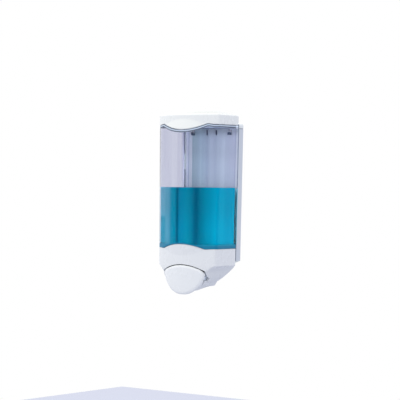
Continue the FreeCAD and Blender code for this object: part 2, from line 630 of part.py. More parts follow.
os.makedirs("parts", exist_ok=True)
for piece in PIECES:
    export(piece)
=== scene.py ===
"""Looks of a wall mounted soap dispenser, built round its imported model."""
import json
import math

import bmesh
import bpy
from mathutils import Matrix, Vector

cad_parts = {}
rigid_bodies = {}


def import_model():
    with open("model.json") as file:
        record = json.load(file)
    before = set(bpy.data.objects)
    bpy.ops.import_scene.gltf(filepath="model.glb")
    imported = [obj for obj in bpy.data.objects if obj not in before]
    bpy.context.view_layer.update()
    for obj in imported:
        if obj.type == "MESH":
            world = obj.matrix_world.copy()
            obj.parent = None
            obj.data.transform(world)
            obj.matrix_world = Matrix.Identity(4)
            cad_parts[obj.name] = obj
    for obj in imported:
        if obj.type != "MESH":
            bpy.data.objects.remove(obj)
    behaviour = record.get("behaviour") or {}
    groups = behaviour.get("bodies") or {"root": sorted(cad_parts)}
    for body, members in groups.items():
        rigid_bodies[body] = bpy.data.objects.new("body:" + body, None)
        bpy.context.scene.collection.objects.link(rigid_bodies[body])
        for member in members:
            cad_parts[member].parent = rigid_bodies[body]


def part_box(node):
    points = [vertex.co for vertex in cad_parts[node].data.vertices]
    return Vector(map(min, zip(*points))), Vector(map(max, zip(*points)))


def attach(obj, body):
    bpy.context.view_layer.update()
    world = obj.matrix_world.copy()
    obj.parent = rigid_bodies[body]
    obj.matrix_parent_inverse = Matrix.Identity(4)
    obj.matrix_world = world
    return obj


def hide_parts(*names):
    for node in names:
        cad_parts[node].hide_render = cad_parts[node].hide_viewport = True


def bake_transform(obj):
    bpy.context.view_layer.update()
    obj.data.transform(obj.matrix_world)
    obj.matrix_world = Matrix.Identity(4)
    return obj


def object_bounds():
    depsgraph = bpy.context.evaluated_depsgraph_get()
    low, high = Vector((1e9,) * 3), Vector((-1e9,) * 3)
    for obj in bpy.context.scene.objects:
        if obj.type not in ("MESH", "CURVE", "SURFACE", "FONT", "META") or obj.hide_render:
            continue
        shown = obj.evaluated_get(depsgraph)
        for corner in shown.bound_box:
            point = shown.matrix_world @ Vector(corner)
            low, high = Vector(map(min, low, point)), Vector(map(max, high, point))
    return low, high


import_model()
CAD_BOX = [list(corner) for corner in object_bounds()]

# ---- sizes, in millimetres; heights are above the button's lowest point ----
MM = 0.001
MOUNT_HEIGHT = 159.0  # height of the frame's origin
FRONT, REAR = -83.0, -12.5  # the unit's front and rear planes
WALL, TANK_WALL = 2.6, 3.0

# outline seen from above
FRONT_HALF, REAR_HALF, TAPER, BAND_TOP = 59.3, 56.3, 0.0155, 276.0
TANK_NOSE, BAND_NOSE, BAND_SETBACK = 102.7, 120.0, 2.0
CORNER, REAR_CORNER = 6.0, 1.6
FRONT_STEPS, CORNER_STEPS, SIDE_STEPS, REAR_CORNER_STEPS, BACK_STEPS = 64, 8, 12, 4, 12
CAP_Y, DOME_Y, BOWL_Y = -47.0, -47.5, -52.0  # middles of the caps, the lid and the bowl

# wave edges between lid, tank and base
WAVE_HALF, WAVE_SHOULDER, WAVE_BLEND, WAVE_DEPTH = 43.0, 52.0, 2.4, -45.0
LID_WAVE = (261.8, 252.6, 260.4)  # peak, middle and side heights
BASE_WAVE = (69.7, 77.2, 70.3)
LID_LENS, BASE_LENS = 16.0, 17.0  # lens facets, from edge to crease
LENS_PAST = 4.0  # facets run on past the wave's half width

# lid and its hinge
LID_ROUND, DOME_LOW, DOME_RISE, DOME_START, DOME_RUN = 2.5, 275.5, 9.5, 35.0, 30.0
DOME_INSETS = (3.6, 4.8, 5.6, 6.3, 7.2, 8.5, 10, 12, 14.5, 17.5, 21, 25, 29, 31)
HINGE_Y, HINGE_H, KNUCKLE_R, PIN_R = REAR, 270.0, 3.3, 1.55
EAR_X, EAR_W, EAR_GAP, EAR_CUT_LOW = 27.0, 4.0, 0.4, 240.0

# rim seal: (inset, drop, material slot of the strip below) down its outer side; slot 1 is the dark
# groove colour, painted shadow
LID_GAP, SEAL_HEIGHT = 0.5, 3.4
SEAL_PROFILE = ((0.9, 0.0, 1), (0.55, -0.05, 1), (0.5, -0.8, 1), (0.05, -1.0, 0),
                (0.0, -1.35, 0), (0.0, -2.4, 0), (0.05, -2.7, 1), (0.45, -2.85, 1),
                (0.5, -3.35, 1), (0.9, -3.4, 0))

# tank, soap and hooks
SOAP_LEVEL, SOAP_FLOOR, FOOT_INSET = 163.0, 76.0, 6.0
SPIGOT_BOTTOM, SPIGOT_INSET, FLOOR_UNDER = 66.8, 2.9, 73.0
PORT_Y, PORT_R, PORT_DEEP = FRONT + 41.0, 17.0, 70.0
NECK_BORE, NECK_R, NECK_BOTTOM = 8.0, 12.5, 63.5
SPOUT_R, SPOUT_DEEP, AXIS_R = 5.7, 24.0, 0.01
MENISCUS = ((0.3, 0.62), (0.7, 0.36), (1.2, 0.18), (2.0, 0.06), (3.2, 0.0), (9, 0.0))
HOOK_END_Y, HOOK_CATCH_Y, HOOK_ARM, HOOK_DROP = -2.2, -4.2, 4.5, 3.5
TANK_HOOK, BASE_HOOK = (34.0, 37.0), (28.5, 31.5)  # inner and outer sides
TANK_HOOK_H, BASE_HOOK_H = (245.6, 254.0), (53.6, 58.1)  # under the arm, top of the catch

# base housing; bowl sections are (height, front half, rear half, nose Y, rear Y)
BOWL = ((44.5, 55.7, 52.7, FRONT + 2.0, REAR), (40.0, 48.8, 50.4, FRONT + 2.2, REAR - 2.0),
        (36.0, 44.5, 47.6, FRONT + 2.8, REAR - 4.8), (28.0, 41.3, 42.6, FRONT + 7.5, REAR - 12.8),
        (19.0, 36.0, 34.5, FRONT + 16.0, REAR - 22.0))
BOWL_TOP, BOWL_BOTTOM = BOWL[0][0], BOWL[-1][0]
BOWL_DROP = BOWL_TOP - BOWL_BOTTOM
DECK_BOTTOM, DECK_TOP = 64.0, 66.5
ARCH_R, ARCH_CENTRE, ARCH_GAP, ARCH_DEPTH, ARCH_HALF = 85.0, -40.5, 1.5, FRONT + 22.0, 40.2
ARCH_FLARE = ((-12.0, 0.4), (0.0, 0.3), (0.2, 0.12), (0.6, 0.0))  # depth, extra radius
CHIN_R, CHIN_FRONT, CHIN_REAR, CHIN_TOP, CHIN_EDGE = 39.8, FRONT + 15.0, FRONT + 49.5, 22.0, 1.6
CHIN_BACK, CHIN_START, CHIN_SLOPE = 9.5, 6.0, math.tan(math.radians(10.0))
LINING_R, LINING_HALF, LINING_LOW, LINING_HIGH, LINING_REAR = 36.9, 34.4, 9.0, 36.0, FRONT + 30.0
LINING_THICK = 1.8

# push button and its spring
BUTTON_R, BUTTON_HALF, BUTTON_LEAN, BUTTON_REAR = 40.0, 38.8, math.radians(3.9), FRONT + 14.4
BUTTON_SOFT, BUTTON_EDGE, BUTTON_ROUND, BUTTON_GROW = 8.0, 4.4, 2.3, 0.3
BUTTON_WALL, BUTTON_MIDDLE, BUTTON_BACK_SLOPE = 2.4, 23.0, math.tan(math.radians(15))
FACE_SETBACK = 0.3
PIVOT_Y, PIVOT_H, PUMP_H = FRONT + 9.5, 12.5, 36.0
ARM, LUG, PAD_HALF = (13.0, 17.0), (17.4, 20.4), 7.0  # arms and lugs at the pivot, pump pad
SPRING_TURNS, WIRE_R = 6, 0.5


# ---- camera, stage and light ----
AZIMUTH, ELEVATION, ROLL = 37.7, 0.5, 0.65  # degrees
LENS, DISTANCE = 153.0, 2.63  # millimetres, metres
AIM_RIGHT, AIM_UP = 0.0035, 0.002  # metres off the middle of the box
FLOOR_DROP, FLOOR_HALF = 0.35, 1.2  # metres


def add_camera():
    low, high = Vector(CAD_BOX[0]), Vector(CAD_BOX[1])
    a, e = math.radians(AZIMUTH), math.radians(ELEVATION)
    away = Vector((math.sin(a) * math.cos(e), -math.cos(a) * math.cos(e), math.sin(e)))
    aim = (low + high) / 2 + Vector((math.cos(a), math.sin(a), 0)) * AIM_RIGHT
    aim.z += AIM_UP
    data = bpy.data.cameras.new("camera")
    data.lens = LENS
    camera = bpy.data.objects.new("camera", data)
    bpy.context.scene.collection.objects.link(camera)
    turn = (-away).to_track_quat("-Z", "Y").to_matrix().to_4x4()
    roll = Matrix.Rotation(math.radians(ROLL), 4, "Z")
    camera.matrix_world = Matrix.Translation(aim + away * DISTANCE) @ turn @ roll
    bpy.context.scene.camera = camera


def add_stage():
    scene = bpy.context.scene
    scene.view_settings.view_transform = "Standard"
    mesh = bpy.data.meshes.new("floor")
    h = FLOOR_HALF
    mesh.from_pydata([(-h, -h, 0), (h, -h, 0), (h, h, 0), (-h, h, 0)], [], [(0, 1, 2, 3)])
    floor = bpy.data.objects.new("floor", mesh)
    floor.location.z = CAD_BOX[0][2] - FLOOR_DROP
    scene.collection.objects.link(floor)
    pale = bpy.data.materials.new("floor_pale")
    pale.use_nodes = True
    shader = pale.node_tree.nodes["Principled BSDF"]
    shader.inputs["Base Color"].default_value = (0.44, 0.46, 0.55, 1)
    shader.inputs["Roughness"].default_value = 1.0
    mesh.materials.append(pale)


LIGHT_SIDE = (-0.26, -0.12, 0.96)  # towards the brightest part of the studio
LIGHT_DIM = (0.34, 0.375, 0.60, 1)
LIGHT_FULL = (1.80, 1.79, 1.74, 1)
TANK_FILL = 1.7  # extra light that reaches in through the tank
BACKDROP = (1, 1, 1, 1)


def graph(owner):
    return owner.node_tree.nodes, owner.node_tree.links


def colour_mix(nodes, links, factor, first, second):
    """Colour between two constants or outputs, by a factor output."""
    mix = nodes.new("ShaderNodeMix")
    mix.data_type = "RGBA"
    links.new(factor, mix.inputs["Factor"])
    colours = [s for s in mix.inputs if s.type == "RGBA"]
    for socket, value in zip(colours, (first, second)):
        if isinstance(value, tuple):
            socket.default_value = value
        else:
            links.new(value, socket)
    return [s for s in mix.outputs if s.type == "RGBA"][0]


def maths(nodes, links, operation, *values):
    """Output of one Math node; each value is a number or another output."""
    node = nodes.new("ShaderNodeMath")
    node.operation = operation
    for socket, value in zip(node.inputs, values):
        if isinstance(value, (int, float)):
            socket.default_value = value
        else:
            links.new(value, socket)
    return node.outputs["Value"]


def add_world():
    """White backdrop for the eye; the light itself falls from above and the left."""
    world = bpy.data.worlds.new("studio")
    world.use_nodes = True
    nodes, links = graph(world)
    coords = nodes.new("ShaderNodeTexCoord")
    towards = nodes.new("ShaderNodeVectorMath")
    towards.operation = "DOT_PRODUCT"
    towards.inputs[1].default_value = LIGHT_SIDE
    links.new(coords.outputs["Generated"], towards.inputs[0])
    spread = nodes.new("ShaderNodeMapRange")
    spread.inputs["From Min"].default_value = -1.0
    links.new(towards.outputs["Value"], spread.inputs["Value"])
    light = colour_mix(nodes, links, spread.outputs["Result"], LIGHT_DIM, LIGHT_FULL)
    path = nodes.new("ShaderNodeLightPath").outputs
    through, bounces = path["Is Transmission Ray"], path["Diffuse Depth"]
    straight = maths(nodes, links, "MAXIMUM", path["Is Camera Ray"], through)
    seen = maths(nodes, links, "MULTIPLY", straight, maths(nodes, links, "LESS_THAN", bounces, 0.5))
    bounced = maths(nodes, links, "GREATER_THAN", bounces, 0.5)
    inside = maths(nodes, links, "MULTIPLY", through, bounced)
    strength = maths(nodes, links, "MULTIPLY_ADD", inside, TANK_FILL, 1.0)
    background = nodes["Background"].inputs
    links.new(colour_mix(nodes, links, seen, light, BACKDROP), background["Color"])
    links.new(strength, background["Strength"])
    bpy.context.scene.world = world


# ---- material makers ----
NOISE_LOW, NOISE_HIGH = 0.3, 0.7  # range that a noise covers in practice
DRIFT, SMEARS, GRAIN, FLOW, RIPPLE = 14.0, 60.0, 900.0, 70.0, 30.0  # noise scales
CLEAR_SMEARS, GRAIN_BUMP, RIPPLE_BUMP, COAT_ROUGH = 55.0, 0.25, 0.2, 0.08
UPRIGHT, TALL = (1, 1, 0.02), (1, 1, 0.15)  # stretches along the height
UNCHANGED = (1, 1, 1, 1)


def new_material(name):
    material = bpy.data.materials.new(name)
    material.use_nodes = True
    nodes, links = graph(material)
    return material, nodes, links, nodes["Principled BSDF"]


def noise_node(nodes, links, scale, detail, stretch=(1, 1, 1)):
    coords = nodes.new("ShaderNodeTexCoord")
    mapping = nodes.new("ShaderNodeMapping")
    mapping.inputs["Scale"].default_value = stretch
    noise = nodes.new("ShaderNodeTexNoise")
    noise.inputs["Scale"].default_value = scale
    noise.inputs["Detail"].default_value = detail
    links.new(coords.outputs["Object"], mapping.inputs["Vector"])
    links.new(mapping.outputs["Vector"], noise.inputs["Vector"])
    return noise.outputs["Fac"]


def two_colours(nodes, links, factor, first, second):
    ramp = nodes.new("ShaderNodeValToRGB")
    for element, place, colour in zip(ramp.color_ramp.elements, (NOISE_LOW, NOISE_HIGH),
                                      (first, second)):
        element.position, element.color = place, (*colour, 1)
    links.new(factor, ramp.inputs["Fac"])
    return ramp.outputs["Color"]


def ranged(nodes, links, factor, low, high):
    span = nodes.new("ShaderNodeMapRange")
    for name, value in (("From Min", NOISE_LOW), ("From Max", NOISE_HIGH),
                        ("To Min", low), ("To Max", high)):
        span.inputs[name].default_value = value
    links.new(factor, span.inputs["Value"])
    return span.outputs["Result"]


def bumped(nodes, links, shader, factor, strength, distance):
    bump = nodes.new("ShaderNodeBump")
    bump.inputs["Strength"].default_value = strength
    bump.inputs["Distance"].default_value = distance
    links.new(factor, bump.inputs["Height"])
    links.new(bump.outputs["Normal"], shader.inputs["Normal"])


def moulded(name, first, second, rough, grain_depth=0.00004, coat=0.0, metallic=0.0, shine=0.5):
    """Opaque moulded, rubber or metal surface: drifting colour, uneven gloss, fine grain."""
    material, nodes, links, shader = new_material(name)
    drift = noise_node(nodes, links, DRIFT, 2.0)
    links.new(two_colours(nodes, links, drift, first, second), shader.inputs["Base Color"])
    smears = noise_node(nodes, links, SMEARS, 4.0)
    links.new(ranged(nodes, links, smears, *rough), shader.inputs["Roughness"])
    grain = noise_node(nodes, links, GRAIN, 2.0)
    bumped(nodes, links, shader, grain, GRAIN_BUMP, grain_depth)
    shader.inputs["Metallic"].default_value = metallic
    shader.inputs["Specular IOR Level"].default_value = shine
    if coat:
        shader.inputs["Coat Weight"].default_value = coat
        shader.inputs["Coat Roughness"].default_value = COAT_ROUGH
    return material


def clear(name, first, second, rough, ior, haze, density, wave, through, shine):
    """See-through moulding or liquid with upright flow streaks and an absorbing body."""
    material, nodes, links, shader = new_material(name)
    flow = noise_node(nodes, links, FLOW, 2.0, UPRIGHT)
    links.new(two_colours(nodes, links, flow, first, second), shader.inputs["Base Color"])
    smears = noise_node(nodes, links, CLEAR_SMEARS, 3.0)
    links.new(ranged(nodes, links, smears, *rough), shader.inputs["Roughness"])
    ripple = noise_node(nodes, links, RIPPLE, 1.0, TALL)
    bumped(nodes, links, shader, ripple, RIPPLE_BUMP, wave)
    shader.inputs["Transmission Weight"].default_value = through
    shader.inputs["IOR"].default_value = ior
    shader.inputs["Specular IOR Level"].default_value = shine
    body = nodes.new("ShaderNodeVolumeAbsorption")
    body.inputs["Color"].default_value = (*haze, 1)
    body.inputs["Density"].default_value = density
    links.new(body.outputs["Volume"], nodes["Material Output"].inputs["Volume"])
    return material


def split(nodes, links, coordinate):
    """The three parts of a texture coordinate, by axis."""
    parts = nodes.new("ShaderNodeSeparateXYZ")
    links.new(nodes.new("ShaderNodeTexCoord").outputs[coordinate], parts.inputs["Vector"])
    return parts.outputs


def across(nodes, links, stops, axis="X"):
    """Colour by place along one axis; stops are (millimetres, colour)."""
    low, high = stops[0][0], stops[-1][0]
    span = nodes.new("ShaderNodeMapRange")
    span.inputs["From Min"].default_value = low * MM
    span.inputs["From Max"].default_value = high * MM
    links.new(split(nodes, links, "Object")[axis], span.inputs["Value"])
    ramp = nodes.new("ShaderNodeValToRGB")
    elements = ramp.color_ramp.elements
    while len(elements) < len(stops):
        elements.new(0.5)
    for element, (place, colour) in zip(elements, stops):
        element.position = (place - low) / (high - low)
        element.color = (*colour, 1)
    links.new(span.outputs["Result"], ramp.inputs["Fac"])
    return ramp.outputs["Color"]


def product(nodes, links, first, second):
    """Two colour outputs multiplied."""
    node = nodes.new("ShaderNodeVectorMath")
    node.operation = "MULTIPLY"
    links.new(first, node.inputs[0])
    links.new(second, node.inputs[1])
    return node.outputs["Vector"]


def tinted(nodes, links, tint):
    """Multiplies a material's present base colour by a colour output."""
    socket = nodes["Principled BSDF"].inputs["Base Color"]
    links.new(product(nodes, links, socket.links[0].from_socket, tint), socket)


def shaded(material, stops, axis="X"):
    """Tints a material by a ramp along one axis."""
    nodes, links = graph(material)
    tinted(nodes, links, across(nodes, links, stops, axis))


def patch(material, tint, **region):
    """Tints a material inside a box, given by axis as (low, high) in mm; None leaves it open."""
    nodes, links = graph(material)
    place = split(nodes, links, "Object")
    inside = None
    for axis, (low, high) in region.items():
        for compare, limit in (("GREATER_THAN", low), ("LESS_THAN", high)):
            if limit is None:
                continue
            test = maths(nodes, links, compare, place[axis], limit * MM)
            inside = test if inside is None else maths(nodes, links, "MULTIPLY", inside, test)
    tinted(nodes, links, colour_mix(nodes, links, inside, UNCHANGED, (*tint, 1)))


def plate_zones(material):
    """Wall plate: painted light and shade on the tray inside, on the front rim and on the grooved
    sides, and a back left plain.
    """
    nodes, links = graph(material)
    place, facing = split(nodes, links, "Object"), split(nodes, links, "Normal")
    tray = product(nodes, links, across(nodes, links, TRAY_PAINTED_SHADE),
                   across(nodes, links, TRAY_TOP_LIGHT, "Z"))
    rim = maths(nodes, links, "LESS_THAN", place["Y"], TRAY_RIM_Y * MM)
    front = colour_mix(nodes, links, rim, tray, across(nodes, links, RIM_LIGHT_AND_SHADE))
    sideways = maths(nodes, links, "ABSOLUTE", facing["X"])
    side = maths(nodes, links, "GREATER_THAN", sideways, SIDE_FACING)
    shade = colour_mix(nodes, links, side, front, across(nodes, links, SIDE_PAINTED_SHADE, "Z"))
    rear = maths(nodes, links, "GREATER_THAN", facing["Y"], REAR_FACING)
    tinted(nodes, links, colour_mix(nodes, links, rear, shade, UNCHANGED))


# ---- shape helpers ----
def at(x, y, h):
    return Vector((x * MM, y * MM, (h - MOUNT_HEIGHT) * MM))


def arc(centre, radius, start, end, steps):
    turns = [start + (end - start) * i / steps for i in range(steps)]
    return [(centre.x + radius * math.cos(t), centre.y + radius * math.sin(t)) for t in turns]


def plan(front_half, rear_half, nose_y, rear_y, nose_r, corner, rear_corner):
    """Outline seen from above, as (x, y) from the front middle round by the right."""
    corner_y = nose_y + nose_r - math.sqrt(nose_r ** 2 - front_half ** 2)
    start, stop = Vector((front_half, corner_y)), Vector((rear_half, rear_y))
    along = (stop - start).normalized()
    inward = Vector((-along.y, along.x))
    nose = Vector((0, nose_y + nose_r))
    offset = start + inward * corner - nose
    reach = offset.dot(along)
    slide = -reach - math.sqrt(reach ** 2 - offset.length_squared + (nose_r - corner) ** 2)
    eye = start + along * slide + inward * corner
    touch = nose + (eye - nose) * nose_r / (nose_r - corner)
    side_start = eye - inward * corner
    rear_eye = stop + along * ((-rear_corner - rear_corner * inward.y) / along.y) \
        + inward * rear_corner
    side_end = rear_eye - inward * rear_corner
    sweep = math.asin(touch.x / nose_r)
    half = arc(nose, nose_r, -math.pi / 2, -math.pi / 2 + sweep, FRONT_STEPS)
    a = math.atan2(touch.y - eye.y, touch.x - eye.x)
    b = math.atan2(side_start.y - eye.y, side_start.x - eye.x)
    half += arc(eye, corner, a, b, CORNER_STEPS)
    half += [tuple(side_start.lerp(side_end, i / SIDE_STEPS)) for i in range(SIDE_STEPS)]
    turn = math.atan2(side_end.y - rear_eye.y, side_end.x - rear_eye.x)
    half += arc(rear_eye, rear_corner, turn, math.pi / 2, REAR_CORNER_STEPS)
    half += [(rear_eye.x * (1 - i / BACK_STEPS), rear_y) for i in range(BACK_STEPS + 1)]
    return half + [(-x, y) for x, y in reversed(half[1:-1])]


class Skin:
    """Tapered side wall held in by inset: gives a row of points at any heights."""

    def __init__(self, inset, nose_y, nose_r):
        self.ends = []
        for height in (0.0, BAND_TOP):
            lost = TAPER * (BAND_TOP - height) + inset
            self.ends.append(plan(FRONT_HALF - lost, REAR_HALF - lost, nose_y + inset,
                                  REAR - inset, nose_r - inset, max(CORNER - inset, 0.8),
                                  max(REAR_CORNER - inset * 0.5, 0.4)))

    def rows(self, first, last, steps):
        return [self.row(heights) for heights in blend_rows(first, last, steps)]

    def row(self, heights):
        low, high = self.ends
        points = []
        for (ax, ay), (bx, by), h in zip(low, high, heights):
            t = h / BAND_TOP
            points.append((ax + (bx - ax) * t, ay + (by - ay) * t, h))
        return points


def tank_skin(inset=0.0):
    return Skin(inset, FRONT, TANK_NOSE)


def band_skin(inset=0.0):
    return Skin(inset, FRONT + BAND_SETBACK, BAND_NOSE)


TANK_PLAN = tank_skin().ends[1]
COUNT = len(TANK_PLAN)


def wave(x, y, peak, middle, side):
    """Height of a wave edge above a point of the outline."""
    x = abs(x)
    if y > WAVE_DEPTH or x >= WAVE_SHOULDER:
        return side

    def height(at_x):
        if at_x > WAVE_HALF:
            return peak + (side - peak) * (at_x - WAVE_HALF) / (WAVE_SHOULDER - WAVE_HALF)
        rise = peak - middle
        radius = (WAVE_HALF ** 2 + rise ** 2) / (2 * abs(rise))
        return middle + math.copysign(radius - math.sqrt(radius ** 2 - at_x ** 2), rise)

    t = (x - WAVE_HALF + WAVE_BLEND) / (2 * WAVE_BLEND)
    if 0 < t < 1:
        start, end = height(WAVE_HALF - WAVE_BLEND), height(WAVE_HALF + WAVE_BLEND)
        return (1 - t) ** 2 * start + 2 * t * (1 - t) * peak + t ** 2 * end
    return height(x)


LID_EDGE = [wave(x, y, *LID_WAVE) for x, y in TANK_PLAN]
BASE_EDGE = [wave(x, y, *BASE_WAVE) for x, y in TANK_PLAN]
FLOOR_EDGE = [max(h + 1.4, SOAP_FLOOR + 0.4) for h in BASE_EDGE]  # foot of the tank's inner wall


def sag(x, radius):
    return radius - math.sqrt(radius ** 2 - x ** 2)


def on_lens(x, y):
    return abs(x) < WAVE_HALF + LENS_PAST and y < WAVE_DEPTH


def crease_reach(x, y):
    """Share of a lens facet's height that is left at a place; below zero off the facet."""
    if not on_lens(x, y):
        return -1
    return (BAND_SETBACK - sag(x, TANK_NOSE) + sag(x, BAND_NOSE)) / BAND_SETBACK


def lens_row(heights, edge, lens, sign):
    """Band row pushed out to the lens facet wherever the facet stands in front."""
    row = []
    for x, y, h in band_skin().row(heights):
        if on_lens(x, y):
            facet = FRONT + sag(x, TANK_NOSE) + BAND_SETBACK * sign * (h - edge) / lens
            y = min(y, facet)
        row.append((x, y, h))
    return row


def blend_rows(first, last, steps):
    """Height lists from first to last, both included."""
    return [[a + (b - a) * i / steps for a, b in zip(first, last)] for i in range(steps + 1)]


def lifted(heights, by):
    return [h + by for h in heights]


def level(height):
    return [height] * COUNT


def part_way(row, other, share):
    """Row of points a share of the way from one row to another."""
    return [tuple(Vector(a).lerp(Vector(b), share)) for a, b in zip(row, other)]


def skin_mesh(rows, closed=False, caps=(), slots=None):
    """Mesh of rows of points: quads between rows, and a fan on each capped end row."""
    mesh = bmesh.new()
    rings = [[mesh.verts.new(at(*p)) for p in row] for row in rows]
    pairs = list(zip(rings, rings[1:]))
    if closed:
        pairs.append((rings[-1], rings[0]))
    count = len(rings[0])
    for k, (low, high) in enumerate(pairs):
        for i in range(count):
            j = (i + 1) % count
            face = mesh.faces.new((low[i], low[j], high[j], high[i]))
            face.material_index = slots[k] if slots else 0
    for index, point in caps:
        ring = rings[index]
        tip = mesh.verts.new(at(*point))
        for i in range(count):
            mesh.faces.new((ring[i], ring[(i + 1) % count], tip))
    bmesh.ops.remove_doubles(mesh, verts=mesh.verts, dist=1e-6)
    bmesh.ops.recalc_face_normals(mesh, faces=mesh.faces)
    return mesh


def soften(mesh, faces, bevel):
    """Bevels the edges of faces, in a fixed order."""
    edges = list(dict.fromkeys(e for f in faces for e in f.edges))
    bmesh.ops.bevel(mesh, geom=edges, offset=bevel * MM, segments=2, profile=0.5, affect="EDGES")


def add_block(mesh, x, y, h, bevel=0.3):
    """Bevelled block from (low, high) ranges."""
    corners = [mesh.verts.new(at(a, b, c)) for a in x for b in y for c in h]
    quads = ((0, 1, 3, 2), (4, 6, 7, 5), (0, 4, 5, 1), (2, 3, 7, 6), (0, 2, 6, 4), (1, 5, 7, 3))
    soften(mesh, [mesh.faces.new([corners[i] for i in quad]) for quad in quads], bevel)


def add_hook(mesh, sides, root_y, heights):
    """Hook through a wall plate window: an arm, and a catch behind the plate."""
    low, top = heights
    add_block(mesh, sides, (root_y, HOOK_END_Y), (low, low + HOOK_ARM))
    add_block(mesh, sides, (HOOK_CATCH_Y, HOOK_END_Y), (low - HOOK_DROP, top))


def mirrored(side, near, far):
    """Range between two distances from the middle, on one side."""
    return sorted((side * near, side * far))


def add_turned(mesh, profile, centre, axis, steps):
    """Turned shape: profile is (radius, position along the axis) and is closed."""
    rings = []
    for i in range(steps):
        t = 2 * math.pi * i / steps
        ring = []
        for radius, place in profile:
            a, b = radius * math.cos(t), radius * math.sin(t)
            spot = (a, b, place) if axis == "Z" else (place, a, b)
            ring.append(mesh.verts.new(at(*(c + s for c, s in zip(centre, spot)))))
        rings.append(ring)
    for i in range(steps):
        for j in range(len(profile)):
            k = (j + 1) % len(profile)
            quad = (rings[i][j], rings[(i + 1) % steps][j], rings[(i + 1) % steps][k], rings[i][k])
            mesh.faces.new(quad)


def add_prism(mesh, outline, x0, x1, bevel=0.3):
    """Plate between two X planes from a (Y, height) outline, with bevelled edges."""
    near = [mesh.verts.new(at(x0, y, h)) for y, h in outline]
    far = [mesh.verts.new(at(x1, y, h)) for y, h in outline]
    faces = [mesh.faces.new(near), mesh.faces.new(list(reversed(far)))]
    for i in range(len(outline)):
        j = (i + 1) % len(outline)
        faces.append(mesh.faces.new((near[j], near[i], far[i], far[j])))
    soften(mesh, faces, bevel)


def cylinder(name, radius, base, height, steps):
    """Upright closed cylinder over the pump's port."""
    mesh = bmesh.new()
    profile = ((AXIS_R, 0), (radius, 0), (radius, height), (AXIS_R, height))
    add_turned(mesh, profile, (0, PORT_Y, base), "Z", steps)
    return make_object(name, mesh)


def make_object(name, mesh):
    bmesh.ops.recalc_face_normals(mesh, faces=mesh.faces)
    data = bpy.data.meshes.new(name)
    mesh.to_mesh(data)
    mesh.free()
    thing = bpy.data.objects.new(name, data)
    bpy.context.scene.collection.objects.link(thing)
    return thing


def combine(thing, tool, operation):
    """Boolean of two closed meshes, applied at once; the tool is thrown away."""
    modifier = thing.modifiers.new("combine", "BOOLEAN")
    modifier.operation = operation
    modifier.solver = "EXACT"
    modifier.object = tool
    depsgraph = bpy.context.evaluated_depsgraph_get()
    result = bpy.data.meshes.new_from_object(thing.evaluated_get(depsgraph))
    thing.modifiers.clear()
    thing.data = result
    bpy.data.objects.remove(tool)


def join(thing, other):
    """Adds another mesh to a piece without cutting either."""
    mesh = bmesh.new()
    mesh.from_mesh(thing.data)
    mesh.from_mesh(other.data)
    mesh.to_mesh(thing.data)
    mesh.free()
    bpy.data.objects.remove(other)


def finish_mesh(thing, materials, sharp):
    """Gives a piece its materials, and smooth shading up to an edge angle."""
    for material in materials:
        thing.data.materials.append(material)
    thing.data.shade_smooth()
    thing.data.set_sharp_from_angle(angle=math.radians(sharp))


def dress(thing, materials, body, nodes=(), sharp=38.0):
    finish_mesh(thing, materials, sharp)
    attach(thing, body)
    if nodes:
        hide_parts(*nodes)


# ---- lid ----
def dome_height(inset):
    """Height of the lid's top at a distance in from its side."""
    return max(BAND_TOP, DOME_LOW + DOME_RISE * (1 - ((DOME_START - inset) / DOME_RUN) ** 2))


def mark_lens(mesh):
    """Gives slot 1, a glossier copy of the lid's white with painted light, to the lid's faces that
    stand on its lens facet.
    """
    for face in mesh.faces:
        centre = face.calc_center_median() / MM
        x, y, h = centre.x, centre.y, centre.z + MOUNT_HEIGHT
        if not on_lens(x, y):
            continue
        facet = FRONT + sag(x, TANK_NOSE) + BAND_SETBACK * (h - LID_WAVE[1]) / LID_LENS
        band = FRONT + BAND_SETBACK + sag(x, BAND_NOSE)
        if abs(y - facet) < 0.12 and facet < band - 0.03:
            face.material_index = 1


def lid_row(heights):
    return lens_row(heights, LID_WAVE[1], LID_LENS, 1)


